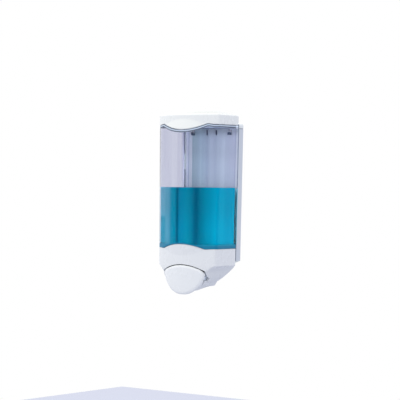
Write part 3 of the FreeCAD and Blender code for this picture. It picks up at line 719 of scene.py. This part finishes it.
def lid():
    edge, inner = LID_EDGE, band_skin(WALL)
    shoulder = BAND_TOP - LID_ROUND
    crease = [max(LID_WAVE[1] + LID_LENS * crease_reach(x, y), h + 1.2)
              for (x, y), h in zip(TANK_PLAN, edge)]
    rows = [inner.row(level(BAND_TOP - WALL))]
    rows += reversed(inner.rows(lifted(edge, 0.3), level(BAND_TOP - WALL - 0.5), 6))
    rows += [part_way(inner.row(edge), lid_row(edge), share) for share in (0.12, 0.88)]
    lip = lifted(edge, 0.15)
    rows.append(part_way(inner.row(lip), lid_row(lip), 0.97))
    rows += [lid_row(heights) for heights in blend_rows(lifted(edge, 0.45), crease, 8)]
    above = [c + (shoulder - c) / 8 for c in crease]
    rows += [lid_row(heights) for heights in blend_rows(above, level(shoulder), 7)]
    for step in range(1, 7):
        turn = math.pi / 2 * step / 6
        rows.append(band_skin(LID_ROUND * (1 - math.cos(turn))).row(
            level(shoulder + LID_ROUND * math.sin(turn))))
    rows += [band_skin(inset).row(level(dome_height(inset))) for inset in DOME_INSETS]
    mesh = skin_mesh(rows, caps=((0, (0, CAP_Y, BAND_TOP - WALL)),
                                 (-1, (0, DOME_Y, dome_height(DOME_INSETS[-1])))))
    mark_lens(mesh)
    shell = make_object("lid_shell", mesh)
    ear_end = EAR_X + EAR_W + EAR_GAP
    for side in (-1, 1):
        cut = bmesh.new()
        add_block(cut, mirrored(side, EAR_X - EAR_GAP, ear_end), (REAR - WALL - 0.2, REAR + 3),
                  (EAR_CUT_LOW, HINGE_H + KNUCKLE_R + 0.4), 0.2)
        combine(shell, make_object("cut", cut), "DIFFERENCE")
        lug = bmesh.new()
        low, high = mirrored(side, ear_end, ear_end + EAR_W)
        profile = ((PIN_R, low), (PIN_R, high), (KNUCKLE_R - 0.3, high), (KNUCKLE_R, high - 0.3),
                   (KNUCKLE_R, low + 0.3), (KNUCKLE_R - 0.3, low))
        add_turned(lug, profile, (0, HINGE_Y, HINGE_H), "X", 36)
        join(shell, make_object("lug", lug))
    dress(shell, [LID, FACET], "lid", ["lid"], 32)


# ---- rim seal ----
def rim_seal():
    top = lifted(LID_EDGE, -LID_GAP)
    rows = [tank_skin(inset).row(lifted(top, drop)) for inset, drop, _ in SEAL_PROFILE]
    rows += [tank_skin(TANK_WALL).row(lifted(top, -SEAL_HEIGHT)), tank_skin(TANK_WALL).row(top)]
    slots = [slot for _, _, slot in SEAL_PROFILE] + [0, 0]
    ring = make_object("rim_seal_ring", skin_mesh(rows, closed=True, slots=slots))
    dress(ring, [SEAL, SEAL_SHADOW], "tank_unit", ["rim_seal"], 40)


# ---- tank and soap ----
def tank():
    top = lifted(LID_EDGE, -LID_GAP - SEAL_HEIGHT)
    foot = lifted(BASE_EDGE, 0.15)
    spigot = band_skin(SPIGOT_INSET)
    rows = [band_skin(SPIGOT_INSET + TANK_WALL).row(level(h)) for h in (FLOOR_UNDER, SPIGOT_BOTTOM)]
    rows += [spigot.row(level(SPIGOT_BOTTOM)),
             spigot.row([max(h - 2.5, SPIGOT_BOTTOM + 0.1) for h in BASE_EDGE]),
             spigot.row(lifted(BASE_EDGE, -0.1)), tank_skin(0.35).row(foot)]
    solid = lifted(FLOOR_EDGE, 0.6)
    rows += tank_skin().rows(lifted(foot, 0.35), solid, 3)
    foot_rows = len(rows) - 1
    rows += tank_skin().rows(solid, lifted(top, -1.0), 30)[1:]
    rim = len(rows) - 1
    rows += [tank_skin().row(lifted(top, -0.35)), tank_skin(0.35).row(top),
             tank_skin(TANK_WALL - 0.3).row(top)]
    rows += tank_skin(TANK_WALL).rows(lifted(top, -0.3), FLOOR_EDGE, 20)
    rows += [band_skin(FOOT_INSET - 1.6).row(lifted(FLOOR_EDGE, -0.35)),
             band_skin(FOOT_INSET).row(level(SOAP_FLOOR + 0.03))]
    # slot 1 is the tank's foot, slot 2 its dark rim band, a painted shadow line
    slots = [1 if k < foot_rows else 2 if rim <= k < rim + 2 else 0 for k in range(len(rows) - 1)]
    caps = (0, (0, CAP_Y, FLOOR_UNDER)), (-1, (0, CAP_Y, SOAP_FLOOR))
    shell = make_object("tank_shell", skin_mesh(rows, caps=caps, slots=slots))
    neck = bmesh.new()
    profile = ((NECK_BORE, NECK_BOTTOM), (NECK_R - 0.3, NECK_BOTTOM), (NECK_R, NECK_BOTTOM + 0.3),
               (NECK_R, FLOOR_UNDER), (NECK_BORE, FLOOR_UNDER))
    add_turned(neck, profile, (0, PORT_Y, 0), "Z", 48)
    join(shell, make_object("neck", neck))
    dress(shell, [SMOKY, FOOT, EDGE], "tank_unit", ["tank"], 32)


def tank_hooks():
    """The two smoky hooks that reach through the wall plate's upper windows, drawn dark and opaque:
    their colour is partly the smoky plastic and partly painted shade in the windows.
    """
    mesh = bmesh.new()
    for side in (-1, 1):
        add_hook(mesh, mirrored(side, *TANK_HOOK), REAR - 0.5, TANK_HOOK_H)
    dress(make_object("tank_hooks", mesh), [HOOKS], "tank_unit")


def soap():
    skin = TANK_WALL - 0.05
    rows = [band_skin(FOOT_INSET - 0.03).row(level(SOAP_FLOOR)),
            band_skin(FOOT_INSET - 1.65).row(lifted(FLOOR_EDGE, -0.4))]
    rows += tank_skin(skin).rows(lifted(FLOOR_EDGE, -0.05), level(SOAP_LEVEL + 0.9), 12)
    rows += [tank_skin(skin + inset).row(level(SOAP_LEVEL + rise)) for inset, rise in MENISCUS]
    mesh = skin_mesh(rows, caps=((0, (0, CAP_Y, SOAP_FLOOR - 0.03)), (-1, (0, CAP_Y, SOAP_LEVEL))))
    dress(make_object("soap_body", mesh), [SOAP], "tank_unit", ["soap_fill"], 50)


# ---- base housing ----
def bowl_value(index, height):
    """One measure of the bowl at a height, on a smooth curve through its sections."""
    knots = [(s[0], s[index]) for s in BOWL]
    last = len(knots) - 2
    for k in range(last + 1):
        (h1, v1), (h2, v2) = knots[k], knots[k + 1]
        if h2 <= height <= h1:
            before = knots[k - 1] if k else (2 * h1 - h2, 2 * v1 - v2)
            after = knots[k + 2] if k < last else (2 * h2 - h1, 2 * v2 - v1)
            m1 = (v2 - before[1]) / (h2 - before[0])
            m2 = (after[1] - v1) / (after[0] - h1)
            span = h2 - h1
            t = (height - h1) / span
            return ((2 * t ** 3 - 3 * t ** 2 + 1) * v1 + (t ** 3 - 2 * t ** 2 + t) * span * m1
                    + (3 * t ** 2 - 2 * t ** 3) * v2 + (t ** 3 - t ** 2) * span * m2)
    return knots[0][1] if height > knots[0][0] else knots[-1][1]


def bowl_row(height, inset, lift=0.0):
    front_half, rear_half, nose_y, rear_y = (bowl_value(i, height) for i in (1, 2, 3, 4))
    points = plan(front_half - inset, rear_half - inset, nose_y + inset, rear_y - inset,
                  BAND_NOSE - inset, max(CORNER - inset, 0.8), max(REAR_CORNER - inset * 0.4, 0.4))
    return [(x, y, height + lift) for x, y in points]


def face_y(x, h):
    """Front of the bowed, slightly leaning button face."""
    return FRONT + FACE_SETBACK + sag(x, TANK_NOSE) + math.tan(BUTTON_LEAN) * (BOWL_TOP - h)


def arch_tool():
    """Cutter for the button's opening, flared where it meets the outer face."""
    radius, steps = ARCH_R + ARCH_GAP, 160
    rows = []
    for push, grow in ARCH_FLARE + ((None, 0.0),):
        row = []
        for i in range(steps):
            t = 2 * math.pi * i / steps
            x = (radius + grow) * math.sin(t)
            h = ARCH_CENTRE + (radius + grow) * math.cos(t)
            half = ARCH_HALF + grow
            if abs(x) > half and h > -20:
                x = math.copysign(half, x)
            if push is None:
                y = ARCH_DEPTH
            else:
                spot = max(min(h, BASE_WAVE[1]), BOWL_BOTTOM)
                nose = bowl_value(3, spot) if spot < BOWL_TOP else FRONT + BAND_SETBACK
                y = nose + sag(min(abs(x), 60), BAND_NOSE) + push
            row.append((x, y, h))
        rows.append(row)
    return skin_mesh(rows, caps=((0, (0, -150, ARCH_CENTRE)), (-1, (0, ARCH_DEPTH, ARCH_CENTRE))))


def trough(radius, lift, y0, y1, top, edge=0.0):
    """Half round trough with a sloping floor, as a closed solid."""
    steps, rows = 96, []
    stations = [(y0, 0.0), (y0 + 0.01, 0.0), (y1 - edge - 0.01, 0.0)]
    if edge:
        stations += [(y1 - edge * 0.6, edge * 0.08), (y1 - edge * 0.25, edge * 0.35), (y1, edge)]
    else:
        stations.append((y1, 0.0))
    for y, pull in stations:
        floor = CHIN_START + lift + CHIN_SLOPE * (y - FRONT - CHIN_BACK) + pull
        r = radius - pull
        row = []
        reach = math.sqrt(r ** 2 - (BUTTON_R - top) ** 2)
        start = math.atan2(reach, BUTTON_R - top)
        for i in range(steps):
            t = start - 2 * start * i / (steps - 1)
            h = BUTTON_R - r * math.cos(t)
            x = r * math.sin(t)
            row.append((x, y, max(h, floor)))
        rows.append(row)
    return skin_mesh(rows, caps=((0, (0, y0 - 0.001, 15)), (-1, (0, y1 + 0.001, 16))))


def base_row(heights):
    return lens_row(heights, BASE_WAVE[1], BASE_LENS, -1)


def base_edge_rows():
    """Outer rows from the wave edge, over the lens facet, to the top of the bowl."""
    crease = [min(BASE_WAVE[1] - BASE_LENS * crease_reach(x, y), h - 1.4)
              for (x, y), h in zip(TANK_PLAN, BASE_EDGE)]
    lip = lifted(BASE_EDGE, -0.18)
    rows = [part_way(base_row(lip), band_skin(WALL).row(lip), 0.14)]
    rows += [base_row(heights) for heights in blend_rows(lifted(BASE_EDGE, -0.55), crease, 8)]
    below = [c + (BOWL_TOP - c) / 8 for c in crease]
    rows += [base_row(heights) for heights in blend_rows(below, level(BOWL_TOP + 0.7), 7)]
    return rows


def add_lining(mesh, side):
    """Inner wall of the base, seen through the gap beside the push button; slot 1, a sheet of
    painted light in the gap, pale bluish and lighter than the base's white.
    """
    rings, steps = [], 14
    for i in range(steps + 1):
        h = LINING_LOW + (LINING_HIGH - LINING_LOW) * i / steps
        x = min(math.sqrt(LINING_R ** 2 - (BUTTON_R - h) ** 2), LINING_HALF)
        front = CHIN_FRONT - 1.5 + 0.2 * max(0.0, h - CHIN_TOP)
        rings.append([mesh.verts.new(at(side * a, y, h)) for a, y in
                      ((x, front), (x, LINING_REAR), (x - LINING_THICK, LINING_REAR),
                       (x - LINING_THICK, front))])
    for low, high in zip(rings, rings[1:]):
        for j in range(4):
            mesh.faces.new((low[j], low[j - 1], high[j - 1], high[j])).material_index = 1
    mesh.faces.new(rings[0])
    mesh.faces.new(list(reversed(rings[-1])))


def base_housing():
    inner = band_skin(WALL)
    rows = [inner.row(level(DECK_TOP)), inner.row(level(DECK_TOP + 0.01)),
            inner.row(lifted(BASE_EDGE, -0.5)), band_skin(WALL - 0.3).row(lifted(BASE_EDGE, -0.18))]
    rows += base_edge_rows()
    rows += [bowl_row(BOWL_TOP - BOWL_DROP * i / 18, 0.0) for i in range(18)]
    rows += [bowl_row(BOWL_BOTTOM, 0.15, 0.6), bowl_row(BOWL_BOTTOM, 0.6, 0.15),
             bowl_row(BOWL_BOTTOM, 1.2)]
    mesh = skin_mesh(rows, caps=((0, (0, CAP_Y, DECK_TOP)), (-1, (0, BOWL_Y, BOWL_BOTTOM))))
    shell = make_object("base_shell", mesh)
    rows = [inner.row(level(h)) for h in (DECK_BOTTOM, 56.0, 48.5)]
    rows += [bowl_row(BOWL_TOP - BOWL_DROP * i / 12, WALL, WALL) for i in range(13)]
    void = skin_mesh(rows, caps=((0, (0, CAP_Y, DECK_BOTTOM)),
                                 (-1, (0, BOWL_Y, BOWL_BOTTOM + WALL))))
    combine(shell, make_object("void", void), "DIFFERENCE")
    combine(shell, make_object("arch", arch_tool()), "DIFFERENCE")
    chin = trough(CHIN_R, 0.0, CHIN_FRONT, CHIN_REAR, CHIN_TOP, CHIN_EDGE)
    combine(shell, make_object("chin", chin), "UNION")
    room = trough(CHIN_R - WALL, WALL, CHIN_FRONT - 3, CHIN_REAR - WALL, CHIN_TOP + 6)
    combine(shell, make_object("room", room), "DIFFERENCE")
    combine(shell, cylinder("port", PORT_R, DECK_BOTTOM - 1, PORT_DEEP, 64), "DIFFERENCE")
    combine(shell, cylinder("spout", SPOUT_R, 0, SPOUT_DEEP, 48), "DIFFERENCE")
    extras = bmesh.new()
    for side in (-1, 1):
        add_hook(extras, mirrored(side, *BASE_HOOK), REAR - 1.0, BASE_HOOK_H)
        arm = ((PIVOT_Y - 2.2, PIVOT_H - 1.2), (PIVOT_Y - 1.2, PIVOT_H - 2.4),
               (CHIN_FRONT + 12, PIVOT_H - 2.4), (CHIN_FRONT + 12, PIVOT_H + 1),
               (PIVOT_Y + 0.6, PIVOT_H + 2.6), (PIVOT_Y - 1.2, PIVOT_H + 2.2),
               (PIVOT_Y - 2.3, PIVOT_H + 1.0))
        add_prism(extras, arm, *mirrored(side, *ARM))
        add_lining(extras, side)
    join(shell, make_object("extras", extras))
    dress(shell, [WHITE, LINING], "tank_unit", ["base_housing"], 32)


# ---- push button ----
def shield(inset):
    """Button outline: a round foot under an arched top, with soft corners."""
    foot, arch_r, half = BUTTON_R - inset, ARCH_R - inset, BUTTON_HALF - inset
    soft = max(BUTTON_SOFT - inset * 0.5, 0.6)
    arch_stop = math.asin(half / arch_r) - soft / arch_r
    corner = Vector((half, ARCH_CENTRE + math.sqrt(arch_r ** 2 - half ** 2)))
    foot_stop = math.pi - math.asin(half / foot)
    low = Vector((half, BUTTON_R + foot * math.cos(foot_stop)))
    right = []
    for i in range(37):
        t = arch_stop * i / 36
        right.append((arch_r * math.sin(t), ARCH_CENTRE + arch_r * math.cos(t)))
    start, end = Vector(right[-1]), Vector((half, max(corner.y - soft, low.y + 0.1)))
    for i in range(1, 9):
        t = i / 9
        right.append(tuple((1 - t) ** 2 * start + 2 * t * (1 - t) * corner + t ** 2 * end))
    right.append(tuple(end))
    for i in range(49):
        t = foot_stop + (math.pi - foot_stop) * i / 48
        right.append((foot * math.sin(t), BUTTON_R + foot * math.cos(t)))
    return right + [(-a, b) for a, b in reversed(right[1:-1])]


def rim_rear(h):
    """Rear edge of the button's rim, which leans forward above its pivot."""
    rear = BUTTON_REAR - BUTTON_BACK_SLOPE * max(0.0, h - PIVOT_H)
    return min(rear, FRONT + 8.0) if h < 6.6 else rear


def face_row(outline, share, behind):
    """Outline shrunk about the middle of the face, and set behind it."""
    points = [(x * share, BUTTON_MIDDLE + (h - BUTTON_MIDDLE) * share) for x, h in outline]
    return [(x, face_y(x, h) + behind, h) for x, h in points]


def button():
    scales = (0.06, 0.2, 0.4, 0.6, 0.78, 0.9, 0.97)
    inside = shield(BUTTON_WALL)
    rows = [face_row(inside, share, BUTTON_WALL) for share in scales]
    rows.append([(x, face_y(x, h) + 3.0, h) for x, h in inside])
    rows.append([(x, rim_rear(h) - 0.3, h) for x, h in inside])
    for inset, back in ((2.1, 0.0), (0.3 - BUTTON_GROW, 0.0), (-BUTTON_GROW, 0.3)):
        rows.append([(x, rim_rear(h) - back, max(h, 0.0)) for x, h in shield(inset)])
    for step in range(8):
        turn = math.pi / 2 * step / 7
        behind = BUTTON_ROUND * (1 - math.sin(turn))
        outline = shield(BUTTON_EDGE * (1 - math.cos(turn)) - BUTTON_GROW)
        rows.append([(x, face_y(x, h) + behind, max(h, 0.0)) for x, h in outline])
    rim = shield(BUTTON_EDGE - BUTTON_GROW)
    rows += [face_row(rim, share, 0.0) for share in reversed(scales)]
    front = face_y(0, BUTTON_MIDDLE)
    mesh = skin_mesh(rows, caps=((0, (0, front + BUTTON_WALL, BUTTON_MIDDLE)),
                                 (-1, (0, front, BUTTON_MIDDLE))))
    for side in (-1, 1):
        lug = ((FRONT + 4.8, PIVOT_H - 3.2), (PIVOT_Y, PIVOT_H - 3.2),
               (PIVOT_Y + 2.6, PIVOT_H - 0.6), (PIVOT_Y + 2.2, PIVOT_H + 2.6),
               (FRONT + 5.2, PIVOT_H + 11))
        add_prism(mesh, lug, *mirrored(side, *LUG))
    pad = ((FRONT + 2.6, PUMP_H - 1.5), (PIVOT_Y - 3, PUMP_H - 1.5), (PIVOT_Y - 1.6, PUMP_H - 3.4),
           (PIVOT_Y - 0.2, PUMP_H - 3.6), (PIVOT_Y + 0.3, PUMP_H - 2.0), (PIVOT_Y + 0.4, PUMP_H),
           (PIVOT_Y + 0.3, PUMP_H + 2.0), (PIVOT_Y - 0.2, PUMP_H + 3.4),
           (PIVOT_Y - 1.6, PUMP_H + 3.4), (PIVOT_Y - 3, PUMP_H + 1.5), (FRONT + 2.6, PUMP_H + 1.5))
    add_prism(mesh, pad, -PAD_HALF, PAD_HALF, 0.2)
    dress(make_object("button_shell", mesh), [BUTTON], "button", ["button"], 40)


# ---- materials ----
WHITE = moulded("white_moulding", (0.635, 0.655, 0.67), (0.65, 0.67, 0.685), (0.24, 0.32),
                grain_depth=0.00002, coat=0.1)
LID = moulded("lid_moulding", (0.69, 0.71, 0.70), (0.70, 0.72, 0.71), (0.24, 0.32),
              grain_depth=0.00002, coat=0.1)
# lens facet: glossier finish, with a lighter colour painted in for the light it catches from above
FACET = moulded("lens_facet_gloss_and_light", (0.715, 0.735, 0.71), (0.725, 0.745, 0.72), (0.16, 0.22),
                grain_depth=0.00001, coat=0.3)
BUTTON = moulded("button_moulding", (0.68, 0.70, 0.71), (0.695, 0.715, 0.725), (0.22, 0.30),
                 coat=0.25)
PLATE = moulded("plate_moulding", (0.62, 0.68, 0.76), (0.66, 0.72, 0.80), (0.35, 0.48))
SEAL = moulded("seal_pale", (0.44, 0.52, 0.62), (0.50, 0.58, 0.68), (0.35, 0.5))
# painted shadow: near-black grooves of the rim seal, standing in for the shade lines along the
# lid's gap
SEAL_SHADOW = moulded("seal_groove_shadow", (0.06, 0.08, 0.12), (0.09, 0.11, 0.16), (0.5, 0.65))
# hooks drawn dark: partly the thick smoky plastic, partly painted shade in the plate's windows
HOOKS = moulded("hook_smoke_and_shadow", (0.12, 0.17, 0.23), (0.14, 0.20, 0.27), (0.2, 0.3), coat=0.2)
SMOKY = clear("smoky_tank", (0.71, 0.72, 0.82), (0.85, 0.86, 0.92), (0.015, 0.04), 1.12,
              (0.50, 0.52, 0.70), 12.0, 0.00002, 1.0, 0.5)
# painted shadow: dark band along the tank's top edge under the seal
EDGE = moulded("tank_rim_shadow", (0.10, 0.13, 0.19), (0.14, 0.17, 0.23), (0.2, 0.3))
FOOT = moulded("tank_foot", (0.004, 0.165, 0.28), (0.01, 0.18, 0.31), (0.3, 0.4), shine=0.15)
# painted light: pale bluish inner wall, lighter than the white it is moulded in
LINING = moulded("inner_wall_lit", (0.80, 0.87, 0.96), (0.83, 0.90, 0.98), (0.4, 0.5))
SOAP = clear("liquid_soap", (0.08, 0.58, 0.78), (0.10, 0.62, 0.82), (0.0, 0.02), 1.02,
             (0.06, 0.97, 0.985), 55.0, 0.000005, 0.3, 0.1)
RAIL = clear("clear_rail", (0.965, 0.965, 0.975), (0.98, 0.98, 0.985), (0.015, 0.04), 1.12,
             (0.9, 0.9, 0.95), 2.0, 0.00001, 1.0, 0.2)
STEEL = moulded("bright_steel", (0.56, 0.57, 0.59), (0.64, 0.65, 0.67), (0.18, 0.3), metallic=1.0)
SPRING = moulded("spring_wire", (0.48, 0.49, 0.51), (0.58, 0.59, 0.61), (0.25, 0.38), metallic=1.0)
RUBBER = moulded("black_rubber", (0.02, 0.02, 0.022), (0.035, 0.035, 0.04), (0.55, 0.7))
NATURAL = moulded("natural_moulding", (0.68, 0.69, 0.67), (0.75, 0.76, 0.74), (0.35, 0.5))
DARK = moulded("dark_moulding", (0.04, 0.045, 0.05), (0.06, 0.065, 0.075), (0.35, 0.5))

NODE_LOOKS = {
    "wall_plate": PLATE, "lid_hinge_rail": RAIL, "lid_hinge_pins": STEEL, "housing_screws": STEEL,
    "button_pivot_pin": STEEL, "inlet_ball": STEEL, "pump_body": NATURAL,
    "inlet_strainer": NATURAL, "union_nut": NATURAL, "piston": NATURAL, "outlet_nozzle": NATURAL,
    "inlet_seat": DARK, "rod_guide": DARK, "neck_gasket": RUBBER, "piston_seal": RUBBER,
    "outlet_valve": RUBBER,
}


# ---- painted light and shade by place: (millimetres from the mount, colour) ----
# painted light and shade in the soap: paler near the thin corners, dark upright columns standing in
# for refraction shade
SOAP_COLUMN_SHADING = (
    (-57, (1.0, 0.45, 0.44)), (-38, (0.95, 0.42, 0.42)), (-36.5, (0.45, 0.26, 0.27)),
    (-35, (0.80, 0.40, 0.40)), (-31, (0.71, 0.37, 0.38)), (-27.5, (0.60, 0.35, 0.36)),
    (-24, (0.10, 0.31, 0.33)), (-16.4, (0.006, 0.29, 0.315)), (-12.5, (0.004, 0.22, 0.25)),
    (-10.5, (0.002, 0.10, 0.14)), (-8.5, (0.002, 0.12, 0.16)), (-6.5, (0.003, 0.24, 0.29)),
    (-1.5, (0.005, 0.30, 0.35)), (7.7, (0.004, 0.318, 0.342)), (17, (0.004, 0.25, 0.28)),
    (22, (0.004, 0.15, 0.19)), (26, (0.004, 0.13, 0.17)), (33, (0.003, 0.24, 0.27)),
    (39.7, (0.001, 0.347, 0.38)), (47, (0.002, 0.375, 0.41)), (50, (0.002, 0.46, 0.49)),
    (57, (0.003, 0.53, 0.56)))
# painted light: the soap lighter and bluer towards the bottom
SOAP_LOW_LIGHT = ((-90, (1, 1.25, 1.22)), (-60, (1, 1.22, 1.2)), (-22, (1, 1.02, 1)), (5, (1, 1, 1)))
# painted shade: darker upright columns in the tank, darkest just left of the middle, standing in
# for refraction shade
TANK_COLUMN_SHADING = (
    (-60, (0.93, 0.93, 0.94)), (-50, (0.95, 0.95, 0.96)), (-40, (1.03, 1.03, 1.02)),
    (-18, (1.05, 1.05, 1.03)), (-8, (0.93, 0.93, 0.95)), (-2, (0.88, 0.88, 0.91)),
    (4, (0.96, 0.96, 0.97)), (8, (1, 1, 1)), (60, (1, 1, 1)))
# painted shade: the lid's dome darker than its band
LID_DOME_SHADE = ((-60, (1, 1, 1)), (116.6, (1, 1, 1)), (118.2, (0.80, 0.80, 0.80)),
               (127, (0.86, 0.86, 0.86)))
# painted light and shade on the plate's tray seen through the tank: dark upright lines and columns,
# lighter strips between
TRAY_PAINTED_SHADE = (
    (-56, (1.45, 1.36, 1.12)), (-47, (1.42, 1.34, 1.10)), (-45.8, (0.85, 0.86, 0.76)),
    (-44.6, (0.85, 0.86, 0.76)), (-43.8, (1.30, 1.24, 0.95)), (-38.9, (1.25, 1.20, 0.92)),
    (-38.2, (0.66, 0.79, 0.61)), (-24, (0.82, 0.94, 0.76)), (-14, (1.08, 1.20, 0.92)),
    (0, (1.22, 1.24, 0.95)), (20, (1.17, 1.20, 0.93)), (42, (1.25, 1.20, 0.96)),
    (56, (1.25, 1.2, 1.0)))
# painted light: the top of the tray lighter, against the head block's shadow
TRAY_TOP_LIGHT = ((-120, (1, 1, 1)), (60, (1, 1, 1)), (84, (1.3, 1.3, 1.3)), (110, (1.3, 1.3, 1.3)))
# painted light and shade on the plate's front rim: lighter on the left, shadow-dark on the right
RIM_LIGHT_AND_SHADE = ((-56, (1.5, 1.4, 1.25)), (-40, (1.5, 1.4, 1.25)), (40, (0.34, 0.37, 0.44)),
              (56, (0.34, 0.37, 0.44)))
# painted shade on the plate's sides: darker below, a painted shadow line in the groove, a lighter
# top block above
SIDE_PAINTED_SHADE = ((-120, (0.78, 0.77, 0.76)), (95.4, (0.78, 0.77, 0.76)), (95.5, (0.24, 0.26, 0.30)),
                (96.4, (0.24, 0.26, 0.30)), (96.5, (1.0, 0.96, 0.88)), (106, (1.0, 0.96, 0.88)))
TRAY_RIM_Y, TRAY_FLOOR_Y = -10.6, -6.5  # the plate's front rim, just behind its tray
SIDE_FACING, REAR_FACING = 0.7, 0.3  # how far a face turns sideways or backwards
SOAP_SPAN, REAR_RIM_Y, FOOT_LOW = (-82, 4), -20, -84.0

shaded(LID, LID_DOME_SHADE, "Z")
shaded(SOAP, SOAP_COLUMN_SHADING)
plate_zones(PLATE)
shaded(SOAP, SOAP_LOW_LIGHT, "Z")
shaded(SMOKY, TANK_COLUMN_SHADING)

# painted light on the tray rim, edge and corner beside the soap and the tank, mostly bluish-green
# as the soap's light
patch(PLATE, (0.6, 1.65, 1.55), X=(40, None), Y=(None, TRAY_RIM_Y), Z=SOAP_SPAN)
patch(PLATE, (1.9, 1.9, 1.6), X=(-51.9, -51.5), Y=(None, TRAY_FLOOR_Y))
patch(PLATE, (0.8, 1.18, 1.32), X=(42, 52), Y=(TRAY_RIM_Y, TRAY_FLOOR_Y), Z=SOAP_SPAN)
# painted light: the rear side of the tank's rim and its seal made lighter, taking out their own
# shade
patch(EDGE, (4.5, 4.0, 3.2), Y=(REAR_RIM_Y, None))
patch(SEAL_SHADOW, (6.0, 5.5, 4.5), Y=(REAR_RIM_Y, None))
patch(SEAL, (1.45, 1.4, 1.3), Y=(REAR_RIM_Y, None))
# painted light: the tank's rear corners lighter on the left, and tinted by the soap's light on the
# right
patch(SMOKY, (1.09, 1.07, 1.03), X=(-50.2, -45), Y=(-15.6, None))
patch(SMOKY, (1.17, 1.16, 1.10), X=(-50.2, -46.4), Y=(-15.6, None))
patch(SMOKY, (0.95, 1.16, 1.08), X=(46.5, None), Y=(-16, None), Z=SOAP_SPAN)
# painted shade on the soap low on the left; the tank foot greener and lighter on the right
patch(SOAP, (0.25, 0.75, 0.8), X=(None, -38.5), Z=(None, -39.7))
patch(FOOT, (0.3, 1.06, 1.02), X=(10, None), Z=(FOOT_LOW, None))
patch(FOOT, (1, 1.28, 1.18), X=(38, None), Z=(FOOT_LOW, None))


# ---- spring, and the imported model's own pieces ----
def return_spring():
    """Coil between the piston and the rear of its barrel."""
    low, high = (Vector(corner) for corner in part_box("return_spring"))
    middle, wire = (low + high) / 2, WIRE_R * MM
    coil, start, rise = (high.x - low.x) / 2 - wire, low.y + wire, high.y - low.y - 2 * wire
    mesh, rings, steps, sides = bmesh.new(), [], SPRING_TURNS * 32, 10
    pull = coil * 2 * math.pi * SPRING_TURNS
    for i in range(steps + 1):
        turn = 2 * math.pi * SPRING_TURNS * i / steps
        out = Vector((math.cos(turn), 0, math.sin(turn)))
        up = out.cross(Vector((-out.z * pull, rise, out.x * pull)).normalized())
        centre = Vector((middle.x, start + rise * i / steps, middle.z)) + out * coil
        rings.append([mesh.verts.new(centre + (out * math.cos(a) + up * math.sin(a)) * wire)
                      for a in (2 * math.pi * j / sides for j in range(sides))])
    for near, far in zip(rings, rings[1:]):
        for j in range(sides):
            mesh.faces.new((near[j], near[j - 1], far[j - 1], far[j]))
    mesh.faces.new(rings[0])
    mesh.faces.new(list(reversed(rings[-1])))
    thing = make_object("spring_coil", mesh)
    finish_mesh(thing, [SPRING], 40)
    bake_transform(thing)
    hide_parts("return_spring")


def dress_nodes():
    """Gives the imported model's own pieces their materials."""
    for node, material in NODE_LOOKS.items():
        for thing in bpy.data.objects:
            if thing.type == "MESH" and thing.name.split(".")[0] == node:
                for slot in thing.material_slots:
                    slot.material = material


add_camera()
add_stage()
add_world()
lid()
rim_seal()
tank()
tank_hooks()
soap()
base_housing()
button()
return_spring()
dress_nodes()
